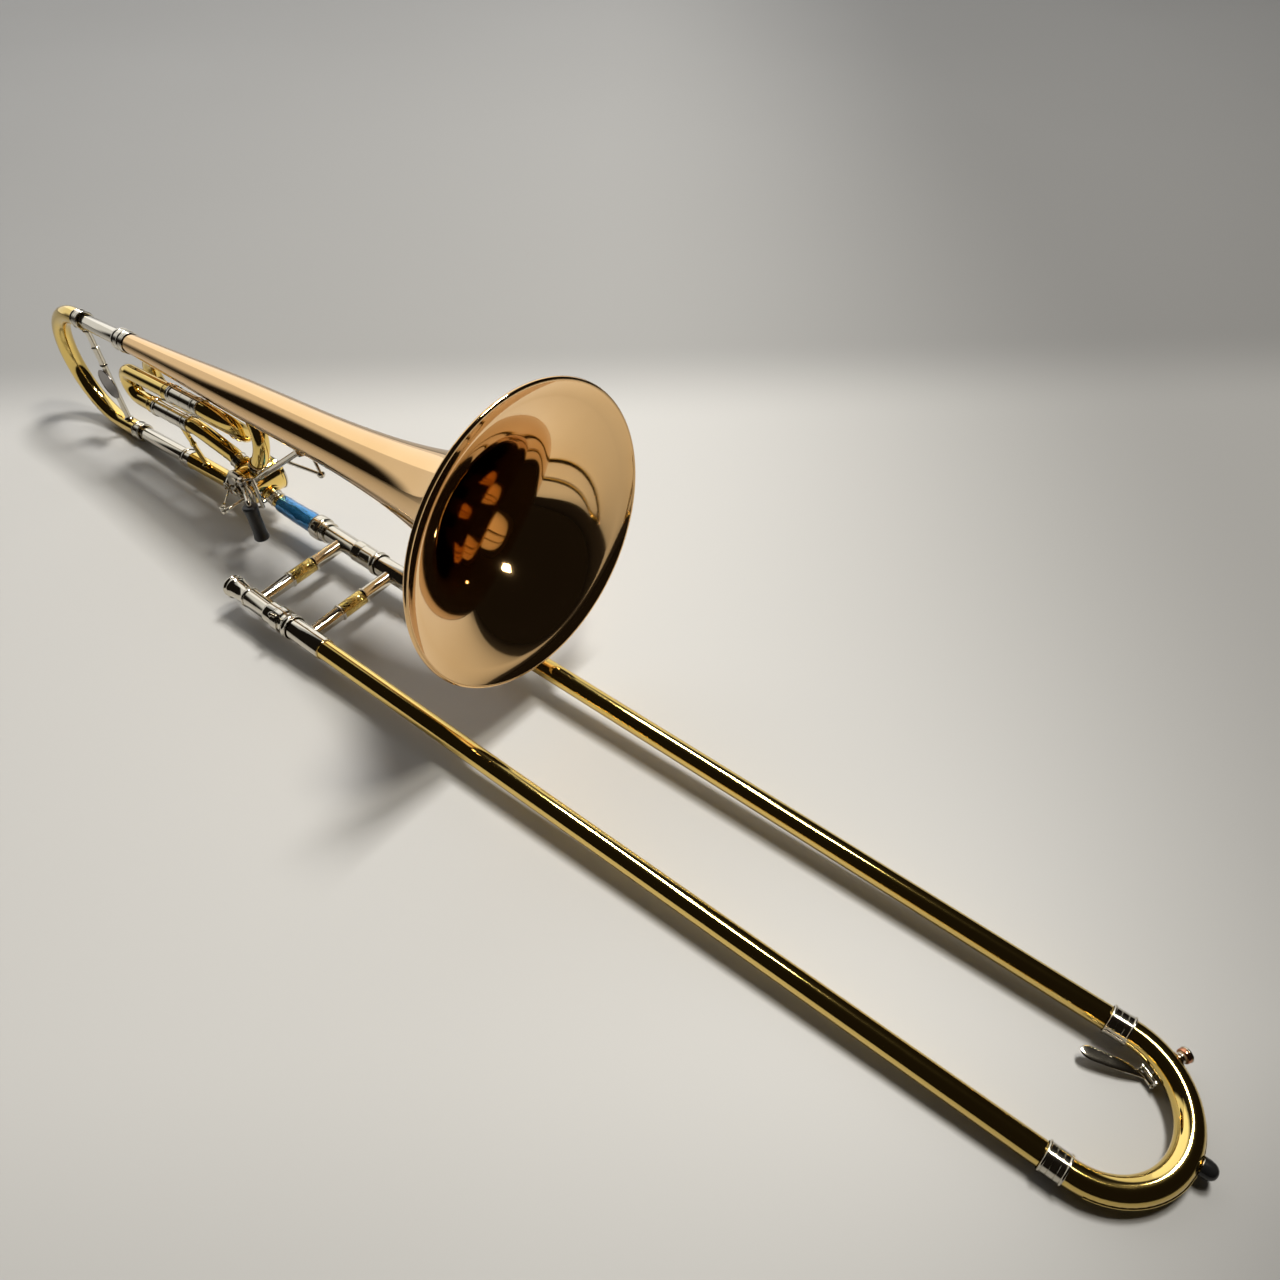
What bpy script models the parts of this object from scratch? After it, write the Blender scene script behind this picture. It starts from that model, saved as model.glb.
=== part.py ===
"""Tenor trombone with F attachment, built from separate pieces at real size.

Metres, +Z up. The slide lies along X with its crook at +X. Pieces of the slide are placed in the slide's
frame, and those of the bell section in the bell's frame, whose X runs out of the bell along its axis.
"""
import math

import bmesh
import bpy
import numpy as np
from mathutils import Vector

# Slide
TUBE_SPACING = 0.090
SLIDE_BORE = 0.0130
INNER_WALL = 0.0003
OUTER_TUBE_R = 0.0075
OUTER_WALL = 0.0004
STOCKING_CLEARANCE = 0.00025
STOCKING_LENGTH = 0.115
INNER_END_X = -0.006
INNER_START_X = -0.672
OUTER_START_X = -0.6335
CROOK_X = 0.0085
CROOK_TUBE_R = 0.0078
CROOK_WALL = 0.0006
FERRULE_LENGTH = 0.013
SOCKET_LENGTH = 0.0018
BUMPER_LENGTH = 0.0062
KEY_ANGLE = 61
KEY_PIVOT_Z = -0.0085
NIPPLE = 0.0022
BARREL_R = 0.0090
BARREL_BACK_R = 0.0082
BARREL_STEP_X = -0.6469
BARREL_FRONT_X = -0.6172
SLEEVE_R = 0.0086
SLEEVE_START_X = -0.6163
SLEEVE_END_X = -0.5807
BRACE_R = 0.0058
SLEEVED_R = 0.0063
INNER_BRACE_X = -0.6645
HAND_BRACE_X = -0.6020
RECEIVER_X = -0.697
TENON_START_X = -0.735
TENON_END_X = -0.6825
NUT_START_X = -0.7000
NUT_END_X = -0.6886
NUT_R = 0.0112

# Bell section
BELL_X = -0.432
BELL_HEIGHT = 0.12714
BELL_TILT = math.radians(3.8)
BELL_LEAN = math.radians(1.4)
BELL_WALL = 0.0006
BELL_OUTLINE = (
    (-0.500, 0.0085), (-0.410, 0.0122), (-0.330, 0.0160), (-0.250, 0.0182), (-0.200, 0.0200),
    (-0.160, 0.0226), (-0.125, 0.0262), (-0.095, 0.0310), (-0.065, 0.0385), (-0.040, 0.0500),
    (-0.020, 0.0680), (-0.007, 0.0900), (0.000, 0.1066),
)
RIM_BEAD_R = 0.0017
LEG_SPACING = 0.1145
TUNING_LEG_R = 0.0072
TUNING_RECEIVER_R = 0.0080
TUNING_BOW_X = -0.5915
TUNING_BOW_R = 0.0083
UPPER_RING_X = -0.574
LOWER_RING_X = -0.555
STEM_END_X = -0.500
LOWER_RECEIVER_START_X = -0.475
LOWER_RECEIVER_END_X = -0.400
TUNING_INSERT = 0.024
TUNING_BRACE_X = -0.5775
DISC_H = -0.0655

# Valve and F attachment
VALVE_X = -0.352
VALVE_H = -0.091
CASING_R = 0.0175
CASING_WALL = 0.0013
CASING_HALF = 0.0165
PORT_START = math.radians(-30)
F_TUBE_R = 0.0071
F_WALL = 0.0005
NEAR = -0.0125
FAR = 0.0125
UPPER_H = -0.0208
MIDDLE_H = -0.0478
FAR_LOWER_H = -0.0578
REAR_BOW_X = -0.487
FRONT_BOW_X = -0.379
F_UPPER_START_X = -0.4195
F_LOWER_START_X = -0.462
F_LOWER_END_X = -0.412
F_RECEIVER_R = 0.0076
PORT_STUB = 0.003
CAP_R = 0.0182
CAP_THICK = 0.0028
PLATE_THICK = 0.0008

# Thumb lever, link and stop arm
ARM_START = CASING_HALF + CAP_THICK + PLATE_THICK + 0.0006
LINK_START = math.radians(135)
STOP_ARM_R = 0.0069
STUD_LENGTH = 0.0075
STUD_R = 0.0010
LINK_H = VALVE_H + STOP_ARM_R * 0.854
TAIL_R = 0.024
LEVER_X = -0.328
LEVER_Y = -0.0255
GRIP_X = -0.290
GRIP_Y = -0.044
GRIP_TOP = -0.067
GRIP_LENGTH = 0.0335

GAP = 0.0003
SIDES = 16
BELL_SIDES = 36

BRASS = ("yellow_brass", (0.83, 0.62, 0.22), 0.16, 1.0)
BELL_BRASS = ("gold_brass", (0.76, 0.50, 0.30), 0.18, 1.0)
NICKEL = ("nickel_silver", (0.72, 0.69, 0.60), 0.16, 1.0)
BLUE = ("blue_film", (0.03, 0.32, 0.62), 0.25, 0.0)
BLACK = ("black_plastic", (0.012, 0.012, 0.014), 0.35, 0.0)
RUBBER = ("black_rubber", (0.012, 0.012, 0.012), 0.6, 0.0)
CORK = ("cork", (0.45, 0.28, 0.15), 0.9, 0.0)
STEEL = ("spring_steel", (0.45, 0.45, 0.46), 0.3, 1.0)

parts = None
cutters = None


def start_scene():
    """Empties the scene and makes the collections."""
    global parts, cutters
    for thing in list(bpy.data.objects):
        bpy.data.objects.remove(thing, do_unlink=True)
    parts = bpy.data.collections.new("tenor_trombone")
    cutters = bpy.data.collections.new("cutters")
    bpy.context.scene.collection.children.link(parts)
    bpy.context.scene.collection.children.link(cutters)


def empty(name, parent=None, location=(0, 0, 0), rotation=(0, 0, 0)):
    thing = bpy.data.objects.new(name, None)
    thing.empty_display_size = 0.02
    parts.objects.link(thing)
    thing.parent = parent
    thing.location = location
    thing.rotation_euler = rotation
    return thing


def paint(thing, look):
    """Gives the object its own Principled material."""
    name, colour, rough, metal = look
    stuff = bpy.data.materials.new(thing.name + "_" + name)
    stuff.use_nodes = True
    shader = stuff.node_tree.nodes["Principled BSDF"]
    shader.inputs["Base Color"].default_value = (*colour, 1)
    shader.inputs["Roughness"].default_value = rough
    shader.inputs["Metallic"].default_value = metal
    thing.data.materials.append(stuff)


def add(name, data, look, parent, location=(0, 0, 0), rotation=(0, 0, 0)):
    """Links a new object that carries the data and its look."""
    thing = bpy.data.objects.new(name, data)
    parts.objects.link(thing)
    thing.parent = parent
    thing.location = location
    thing.rotation_euler = rotation
    if look:
        paint(thing, look)
    return thing


def guide(thing):
    """Turns an object into a cutter that isn't part of the model."""
    parts.objects.unlink(thing)
    cutters.objects.link(thing)
    thing.hide_render = True
    thing.display_type = "WIRE"
    return thing


def turned(name, outline, look, parent, location=(0, 0, 0), axis=(1, 0, 0), sides=SIDES):
    """Turns an outline of (along, radius) points about an axis through the location.

    The outline goes round the section so that its outer side is walked against the axis, which is the
    downward way. An outline that starts and ends at radius 0 gives a solid piece, another one a ring.
    """
    mesh = bpy.data.meshes.new(name)
    points = [(radius, 0, along) for along, radius in outline]
    closed = outline[0][1] > 0
    edges = [(i, i + 1) for i in range(len(points) - 1)]
    if closed:
        edges.append((len(points) - 1, 0))
    mesh.from_pydata(points, edges, [])
    thing = add(name, mesh, look, parent, location)
    thing.rotation_euler = Vector(axis).to_track_quat("Z", "Y").to_euler()
    spin = thing.modifiers.new("Turn", "SCREW")
    spin.steps = sides
    spin.render_steps = sides
    spin.use_merge_vertices = True
    spin.merge_threshold = 0.00001
    spin.use_smooth_shade = True
    return thing


def ring(start, end, inner, outer):
    """Section of a plain sleeve, walked down its outer side and up its bore."""
    return [(end, outer), (start, outer), (start, inner), (end, inner)]


def beaded(start, end, inner, outer, bead=0.0007, width=0.0018):
    """Section of a ferrule with a raised bead at both ends."""
    return [
        (end, outer + bead), (end - width, outer + bead), (end - width, outer), (start + width, outer),
        (start + width, outer + bead), (start, outer + bead), (start, inner), (end, inner),
    ]


def rod_outline(start, end, radius):
    return [(end, 0), (end, radius), (start, radius), (start, 0)]


def rounded(corners, radii, step=math.radians(20)):
    """Points of a path through the corners, with an arc of the given radius at each inner corner."""
    corners = [Vector(corner) for corner in corners]
    path = [corners[0]]
    for before, corner, after, radius in zip(corners, corners[1:], corners[2:], radii):
        back = (before - corner).normalized()
        ahead = (after - corner).normalized()
        turn = math.pi - back.angle(ahead)
        reach = radius * math.tan(turn / 2)
        centre = corner + (back + ahead).normalized() * (radius / math.cos(turn / 2))
        first = corner + back * reach - centre
        last = corner + ahead * reach - centre
        count = max(2, round(turn / step))
        for i in range(count + 1):
            share = i / count
            mixed = first * math.sin((1 - share) * turn) + last * math.sin(share * turn)
            path.append(centre + mixed / math.sin(turn))
    path.append(corners[-1])
    return path


def pipe(name, path, radius, look, parent, wall=None, sides=12, location=(0, 0, 0)):
    """A tube along the path: hollow where a wall is given, else a rod with filled ends."""
    curve = bpy.data.curves.new(name, "CURVE")
    curve.dimensions = "3D"
    curve.bevel_depth = radius
    curve.bevel_resolution = (sides - 4) // 2
    curve.use_fill_caps = wall is None
    line = curve.splines.new("POLY")
    line.points.add(len(path) - 1)
    for point, place in zip(line.points, path):
        point.co = (*place, 1)
    line.use_smooth = True
    thing = add(name, curve, look, parent, location)
    if wall is not None:
        shell = thing.modifiers.new("Wall", "SOLIDIFY")
        shell.thickness = wall
        shell.offset = -1
    return thing


def as_mesh(thing):
    """Replaces an object by one whose mesh is the evaluated object, in the same place."""
    bpy.context.view_layer.update()
    seen = thing.evaluated_get(bpy.context.evaluated_depsgraph_get())
    mesh = bpy.data.meshes.new_from_object(seen)
    shape = bmesh.new()
    shape.from_mesh(mesh)
    bmesh.ops.remove_doubles(shape, verts=shape.verts, dist=0.000005)
    bmesh.ops.recalc_face_normals(shape, faces=shape.faces)
    shape.to_mesh(mesh)
    shape.free()
    name = thing.name
    home = thing.users_collection[0]
    parent = thing.parent
    matrix = thing.matrix_local.copy()
    hidden = thing.hide_render
    bpy.data.objects.remove(thing, do_unlink=True)
    solid = bpy.data.objects.new(name, mesh)
    home.objects.link(solid)
    solid.parent = parent
    solid.matrix_local = matrix
    solid.hide_render = hidden
    if hidden:
        solid.display_type = "WIRE"
    return solid


def combine(thing, others, how):
    """Joins or cuts the object with the others, which become guides."""
    solid = as_mesh(thing)
    for other in others:
        tool = as_mesh(other) if other.type == "CURVE" or other.modifiers else other
        if tool.name in parts.objects:
            guide(tool)
        step = solid.modifiers.new(how.title(), "BOOLEAN")
        step.operation = how
        step.solver = "EXACT"
        step.object = tool
    return solid


def slide_tube(name, side, parent):
    """Outer tube of the hand slide, with its oversleeve at the brace."""
    bore = OUTER_TUBE_R - OUTER_WALL
    outline = [
        (-GAP, OUTER_TUBE_R), (SLEEVE_END_X, OUTER_TUBE_R), (SLEEVE_END_X, SLEEVE_R),
        (SLEEVE_START_X, SLEEVE_R), (SLEEVE_START_X, OUTER_TUBE_R), (OUTER_START_X, OUTER_TUBE_R),
        (OUTER_START_X, bore), (-GAP, bore),
    ]
    return turned(name, outline, BRASS, parent, (0, side, 0))


def inner_tube(name, side, parent):
    """Inner tube, drawn wider at its end to make the stocking."""
    bore = SLIDE_BORE / 2
    plain = bore + INNER_WALL
    stocking = OUTER_TUBE_R - OUTER_WALL - STOCKING_CLEARANCE
    shoulder = INNER_END_X - STOCKING_LENGTH
    outline = [
        (INNER_END_X, stocking), (shoulder, stocking), (shoulder - 0.004, plain), (INNER_START_X, plain),
        (INNER_START_X, bore), (INNER_END_X, bore),
    ]
    return turned(name, outline, NICKEL, parent, (0, side, 0))


def cork_barrel(name, side, start, parent):
    """Barrel at the inner slide's brace: narrow at the back, wide and open where it takes the outer tube."""
    back_bore = SLIDE_BORE / 2 + INNER_WALL + GAP
    front_bore = OUTER_TUBE_R + 0.0005
    rim = BARREL_R + 0.0010
    outline = [
        (BARREL_FRONT_X, rim), (BARREL_FRONT_X - 0.0040, rim), (BARREL_FRONT_X - 0.0045, BARREL_R),
        (BARREL_STEP_X + 0.0006, BARREL_R), (BARREL_STEP_X, BARREL_BACK_R), (start, BARREL_BACK_R),
        (start, back_bore), (BARREL_STEP_X + 0.0035, back_bore), (BARREL_STEP_X + 0.0035, front_bore),
        (BARREL_FRONT_X, front_bore),
    ]
    return turned(name, outline, NICKEL, parent, (0, side, 0))


def brace(name, x, tube_r, parent):
    """Cross brace between the two sides, thicker in its middle where its sleeve sits."""
    half = TUBE_SPACING / 2
    bead = BRACE_R + 0.0012
    outline = [
        (half, 0), (half, BRACE_R), (0.0125, BRACE_R), (0.0125, bead), (0.0107, bead), (0.0107, SLEEVED_R),
        (-0.0107, SLEEVED_R), (-0.0107, bead), (-0.0125, bead), (-0.0125, BRACE_R), (-half, BRACE_R),
        (-half, 0),
    ]
    bar = turned(name, outline, NICKEL, parent, (x, 0, 0), (0, 1, 0))
    hollows = []
    for side in (-half, half):
        outline = rod_outline(-0.02, 0.02, tube_r + GAP)
        hollows.append(guide(turned(name + "_cut", outline, None, parent, (x, side, 0))))
    combine(bar, hollows, "DIFFERENCE")


def receiver(parent):
    """Mouthpiece receiver, flared at its mouth, with the taper for the shank."""
    end = INNER_START_X - GAP
    outline = [
        (end, 0.0086), (end - 0.0030, 0.0086), (end - 0.0036, 0.0079), (end - 0.0085, 0.0079),
        (RECEIVER_X + 0.0080, 0.0084), (RECEIVER_X + 0.0060, 0.0094), (RECEIVER_X + 0.0012, 0.0096),
        (RECEIVER_X, 0.0090), (RECEIVER_X, 0.0066), (end, 0.0061),
    ]
    turned("mouthpiece_receiver", outline, NICKEL, parent, (0, -TUBE_SPACING / 2, 0))
    outer = SLIDE_BORE / 2 - GAP
    pipe_end = INNER_START_X + 0.215
    outline = [
        (pipe_end, outer), (INNER_START_X + GAP, outer), (INNER_START_X + GAP, outer - 0.0004),
        (INNER_START_X + 0.030, outer - 0.0011), (pipe_end, outer - 0.0003),
    ]
    turned("leadpipe", outline, BRASS, parent, (0, -TUBE_SPACING / 2, 0))


def tenon(parent):
    """Tapered tenon that the bell section sits on, with the collar behind its nut."""
    outline = [
        (TENON_END_X, 0.0094), (NUT_END_X + GAP, 0.0094), (NUT_END_X + GAP, 0.0077), (NUT_START_X, 0.0077),
        (NUT_START_X - 0.0012, 0.0071), (TENON_START_X, 0.0064), (TENON_START_X, 0.0059),
        (TENON_END_X, 0.0062),
    ]
    turned("slide_tenon", outline, NICKEL, parent, (0, TUBE_SPACING / 2, 0))


def bell_lock_nut(pivot):
    """Knurled nut that draws the bell section on to the tenon."""
    inner = 0.0077 + GAP
    middle = (NUT_END_X - NUT_START_X) / 2
    outline = [
        (middle, 0.0098), (middle - 0.0014, NUT_R), (-middle + 0.0014, NUT_R), (-middle, 0.0098),
        (-middle, inner), (middle, inner),
    ]
    turned("bell_lock_nut", outline, NICKEL, pivot)


def slide_lock(pivot):
    """Ring with a small thumb lug that locks the two slides together."""
    inner = BARREL_R + GAP
    body = turned("slide_lock_ring", ring(-0.004, 0.004, inner, inner + 0.0011), NICKEL, pivot)
    lug = turned("lock_lug_cut", rod_outline(inner + 0.0004, inner + 0.0065, 0.0020), None, pivot,
                 (0, 0, 0), (0, -0.5, 0.87), 12)
    body = combine(body, [lug], "UNION")


def crook(parent):
    """Bow of the hand slide with its two ferrules."""
    half = TUBE_SPACING / 2
    start = GAP
    steps = 14
    path = [Vector((start, -half, 0))]
    for i in range(steps + 1):
        angle = -math.pi / 2 + math.pi * i / steps
        path.append(Vector((CROOK_X + half * math.cos(angle), half * math.sin(angle), 0)))
    path.append(Vector((start, half, 0)))
    pipe("slide_crook", path, CROOK_TUBE_R, BRASS, parent, CROOK_WALL)
    inner = CROOK_TUBE_R + GAP
    for name, side in (("crook_ferrule_a", -half), ("crook_ferrule_b", half)):
        outline = beaded(-0.0045, -0.0045 + FERRULE_LENGTH, inner, inner + 0.0005)
        turned(name, outline, NICKEL, parent, (0, side, 0))


def bumper(parent):
    """Rubber bumper in its socket at the end of the crook."""
    tip = CROOK_X + TUBE_SPACING / 2 + CROOK_TUBE_R + GAP
    socket = [(SOCKET_LENGTH, 0), (SOCKET_LENGTH, 0.0042), (0.0, 0.0050), (0.0, 0)]
    turned("bumper_socket", socket, NICKEL, parent, (tip, 0, 0), sides=16)
    long = BUMPER_LENGTH
    dome = [(long, 0), (long - 0.0003, 0.0020), (long - 0.0016, 0.0038), (long - 0.0038, 0.0049)]
    dome = dome + [(0.0, 0.0052), (0.0, 0)]
    turned("bumper", dome, RUBBER, parent, (tip + SOCKET_LENGTH + GAP, 0, 0), sides=16)


def water_key(parent):
    """Water key: nipple outside the crook, and a lever that passes below the tube to it."""
    angle = math.radians(KEY_ANGLE)
    out = Vector((math.cos(angle), math.sin(angle), 0))
    along = Vector((-math.sin(angle), math.cos(angle), 0))
    centre = Vector((CROOK_X, 0, 0))
    mid_r = TUBE_SPACING / 2
    outer_r = mid_r + CROOK_TUBE_R
    turned("water_key_nipple", ring(0, NIPPLE, 0.0016, 0.0032), NICKEL, parent,
           centre + out * (outer_r + GAP), out, 12)
    hinge_r = mid_r - CROOK_TUBE_R - 0.0020
    place = centre + out * hinge_r + Vector((0, 0, KEY_PIVOT_Z))
    hinge = empty("water_key_hinge", parent, place)
    rise = Vector((0, 0, -KEY_PIVOT_Z))
    cork_at = outer_r + NIPPLE + 2 * GAP - hinge_r
    turned("water_key_cork", rod_outline(0, 0.0016, 0.0034), CORK, hinge, rise + out * cork_at, out, 12)
    cap_at = cork_at + 0.0016 + GAP
    cap = turned("water_key_lever", rod_outline(0, 0.0026, 0.0044), NICKEL, hinge, rise + out * cap_at, out,
                 12)
    tip = out * (cap_at + 0.0014) + rise
    under = Vector((0, 0, -CROOK_TUBE_R - 0.0018 - KEY_PIVOT_Z))
    arm = [tip, out * (cap_at + 0.0014) + under, out * 0.003 + under, Vector((0, 0, 0))]
    bars = [pipe("key_arm_cut", rounded(arm, (0.003, 0.002)), 0.0010, None, hinge, sides=8)]
    blade = [Vector((0, 0, 0)), Vector((-0.012, -0.003, 0.0030)), Vector((-0.031, -0.0085, 0.0045))]
    bars.append(pipe("key_blade_cut", blade, 0.0013, None, hinge, sides=8))
    bars.append(turned("key_barrel_cut", rod_outline(-0.0040, 0.0040, 0.0021), None, hinge, (0, 0, 0), along,
                       12))
    bars.append(turned("key_touch_cut", rod_outline(-0.0008, 0.0008, 0.0042), None, hinge,
                       blade[-1], (0.1, 0, 1), 16))
    combine(cap, bars, "UNION")
    key_saddle(parent, along, place)


def key_saddle(parent, along, place):
    """Saddle on the crook with two ears that hold the water key's hinge."""
    ear = (0.0044, 0.0056)
    ears = turned("water_key_saddle", rod_outline(*ear, 0.0024), NICKEL, parent, place, along, 12)
    joins = [turned("far_ear_cut", rod_outline(-ear[1], -ear[0], 0.0024), None, parent, place, along, 12)]
    foot = Vector((0, 0, -KEY_PIVOT_Z * 0.55))
    for share in (0.0050, -0.0050):
        start = place + along * share
        joins.append(pipe("ear_foot_cut", [start, start + foot], 0.0010, None, parent, sides=8))
    ends = [place + foot - along * 0.0058, place + foot + along * 0.0058]
    joins.append(pipe("ear_plate_cut", ends, 0.0010, None, parent, sides=8))
    combine(ears, joins, "UNION")


def spring(name, turns, radius, wire, parent, location, axis):
    """A small wound spring about the axis."""
    axis = Vector(axis).normalized()
    side = axis.orthogonal().normalized()
    other = axis.cross(side)
    per_turn = 10
    path = []
    for i in range(turns * per_turn + 1):
        angle = 2 * math.pi * i / per_turn
        lift = (i / per_turn - turns / 2) * wire * 2.8
        path.append(axis * lift + side * radius * math.cos(angle) + other * radius * math.sin(angle))
    pipe(name, path, wire, STEEL, parent, sides=6, location=location)


def bell_outline_points(count=20):
    """Bell radii between the chosen stations, by a smooth monotone curve through them."""
    xs = np.array([station[0] for station in BELL_OUTLINE])
    rs = np.array([station[1] for station in BELL_OUTLINE])
    slopes = np.diff(rs) / np.diff(xs)
    tangents = np.empty(len(xs))
    tangents[0] = slopes[0]
    tangents[-1] = slopes[-1] * 1.25
    tangents[1:-1] = 2 * slopes[:-1] * slopes[1:] / (slopes[:-1] + slopes[1:])
    spread = np.linspace(0, 1, count)
    where = xs[0] * (1 - spread) ** 2.2
    points = []
    for x in where:
        i = min(max(int(np.searchsorted(xs, x)) - 1, 0), len(xs) - 2)
        width = xs[i + 1] - xs[i]
        t = (x - xs[i]) / width
        radius = ((2 * t**3 - 3 * t**2 + 1) * rs[i] + (t**3 - 2 * t**2 + t) * width * tangents[i]
                  + (3 * t**2 - 2 * t**3) * rs[i + 1] + (t**3 - t**2) * width * tangents[i + 1])
        points.append((float(x), float(radius)))
    return points


def bell(section):
    """Bell with its flare and rolled rim, one thin wall."""
    outer = bell_outline_points()
    rim_x, rim_r = outer[-1]
    outer = [point for point in outer if point[0] < rim_x - 2.6 * RIM_BEAD_R]
    bead = []
    for i in range(7):
        angle = math.radians(-150 + 50 * i)
        bead.append((rim_x + RIM_BEAD_R * (math.sin(angle) - 1), rim_r + RIM_BEAD_R * math.cos(angle)))
    bead.reverse()
    inner = []
    ahead = outer[1:] + [(rim_x - RIM_BEAD_R, rim_r)]
    for (x, radius), nearby in zip(outer, ahead):
        slope = math.atan2(nearby[1] - radius, nearby[0] - x)
        inner.append((x + BELL_WALL * math.sin(slope), radius - BELL_WALL * math.cos(slope)))
    inner[0] = (outer[0][0], inner[0][1])
    section_outline = bead[:-1] + list(reversed(outer)) + inner
    turned("bell", section_outline, BELL_BRASS, section, sides=BELL_SIDES)


def slide_line(x):
    """Point of the swivel axis, in the bell's frame, where the slide's own X is x."""
    back = x - BELL_X
    height = BELL_HEIGHT
    tilt = BELL_TILT
    return Vector((back * math.cos(tilt) - height * math.sin(tilt), 0,
                   -back * math.sin(tilt) - height * math.cos(tilt)))


def port(index, reach=0.0):
    """Place and outward direction of a port of the valve, counted round from the one of the neckpipe."""
    angle = PORT_START + index * math.pi / 2
    way = Vector((math.cos(angle), 0, math.sin(angle)))
    return Vector((VALVE_X, 0, VALVE_H)) + way * (CASING_R + PORT_STUB + reach), way


def neckpipe(section, swivel):
    """Tube from the tenon's receiver to the valve, the receiver and the film sleeve round it."""
    start, way = port(0, GAP)
    fall = -math.tan(BELL_TILT)
    level = slide_line(TENON_START_X)
    run = (level.z + (start.x - level.x) * fall - start.z) / (way.z - way.x * fall)
    corner = start + way * run
    end = slide_line(TENON_START_X - GAP * 2)
    pipe("neckpipe", rounded([start, corner, end], [0.012]), 0.0068, BRASS, section, F_WALL)
    back = TENON_START_X - 0.0120
    front = NUT_START_X - GAP * 2
    taper = [
        (front, 0.0085), (back, 0.0076), (back, 0.0071), (TENON_START_X - GAP, 0.0071),
        (TENON_START_X + 0.001, 0.0069), (front, 0.0075),
    ]
    turned("tenon_receiver", taper, NICKEL, swivel)
    film = [(front, 0.0091), (back, 0.0082), (back, 0.0079), (front, 0.0088)]
    turned("film_sleeve", film, BLUE, swivel)


def casing(section):
    """Rotor casing with its four ports, cut through to the bore."""
    place = Vector((VALVE_X, 0, VALVE_H))
    shell = turned("rotor_casing", rod_outline(-CASING_HALF, CASING_HALF, CASING_R), BRASS, section,
                   place, (0, 1, 0), 28)
    stubs = []
    bores = [guide(turned("casing_bore_cut", rod_outline(-0.03, 0.03, CASING_R - CASING_WALL), None,
                          section, place, (0, 1, 0), 32))]
    for i in range(4):
        end, way = port(i)
        reach = CASING_R + PORT_STUB
        stubs.append(turned("casing_stub", rod_outline(CASING_R - 0.008, reach, F_TUBE_R), None,
                            section, place, way, 16))
        bores.append(guide(turned("casing_port_cut", rod_outline(CASING_R - 0.009, reach + 0.01,
                                  F_TUBE_R - F_WALL), None, section, place, way, 16)))
    combine(combine(shell, stubs, "UNION"), bores, "DIFFERENCE")
    edge = CASING_HALF + GAP
    dome = [(edge + CAP_THICK, 0.0150), (edge + 0.0014, CAP_R), (edge, CAP_R)]
    plate = edge + CAP_THICK + PLATE_THICK
    near = [(plate, 0.0122), (edge + CAP_THICK, 0.0122)] + dome + [(edge, 0.0029), (plate, 0.0029)]
    turned("valve_cap_near", near, NICKEL, section, place, (0, -1, 0), 32)
    turned("valve_cap_far", [(edge + CAP_THICK, 0)] + dome + [(edge, 0)], NICKEL, section, place, (0, 1, 0),
           32)


def rotor(section):
    """Rotor with two curved passages, and its spindle through the near cap."""
    pivot = empty("rotor_axis", section, (VALVE_X, 0, VALVE_H))
    radius = CASING_R - CASING_WALL - 0.0003
    body = turned("valve_rotor", rod_outline(-CASING_HALF + 0.001, CASING_HALF - 0.001, radius), BRASS,
                  pivot, (0, 0, 0), (0, 1, 0), 32)
    spindle = turned("spindle_cut", rod_outline(0, CASING_HALF + 0.0075, 0.0024), None, pivot,
                     (0, 0, 0), (0, -1, 0), 12)
    body = combine(body, [spindle], "UNION")
    passages = []
    for first in (0, 2):
        middle = PORT_START + (first - 0.5) * math.pi / 2
        ends = []
        for turn in (-math.pi / 4, math.pi / 4):
            ends.append(Vector((math.cos(middle + turn), 0, math.sin(middle + turn))) * 0.020)
        path = rounded([ends[0], (0, 0, 0), ends[1]], [0.0165])
        passages.append(guide(pipe("passage_cut", path, 0.0056, None, pivot)))
    combine(body, passages, "DIFFERENCE")
    return pivot


def stop_arm(pivot, section):
    """Arm that the link turns, and the two corks that stop it."""
    place = (VALVE_X, 0, VALVE_H)
    start = ARM_START
    hub = turned("rotor_stop_arm", ring(start, start + 0.0030, 0.0027, 0.0048), NICKEL, pivot,
                 (0, 0, 0), (0, -1, 0), 16)
    way = Vector((math.cos(LINK_START), 0, math.sin(LINK_START)))
    level = Vector((0, -start - 0.0015, 0))
    arm = pipe("arm_cut", [level - way * 0.0085, level - way * 0.0038], 0.0013, None, pivot, sides=8)
    arm_up = pipe("arm_cut", [level + way * 0.0038, level + way * STOP_ARM_R], 0.0013, None, pivot, sides=8)
    tip = level + way * STOP_ARM_R
    stud = pipe("stud_cut", [tip, tip - Vector((0, STUD_LENGTH, 0))], STUD_R, None, pivot, sides=8)
    combine(hub, [arm, arm_up, stud], "UNION")
    lug = LINK_START + math.pi
    for name, turn in (("stop_cork_rest", 0.40), ("stop_cork_played", -math.pi / 2 - 0.40)):
        spot = Vector((math.cos(lug + turn), 0, math.sin(lug + turn))) * 0.0088
        turned(name, rod_outline(start, start + 0.0034, 0.0017), CORK, section, Vector(place) + spot,
               (0, -1, 0), 12)


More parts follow.
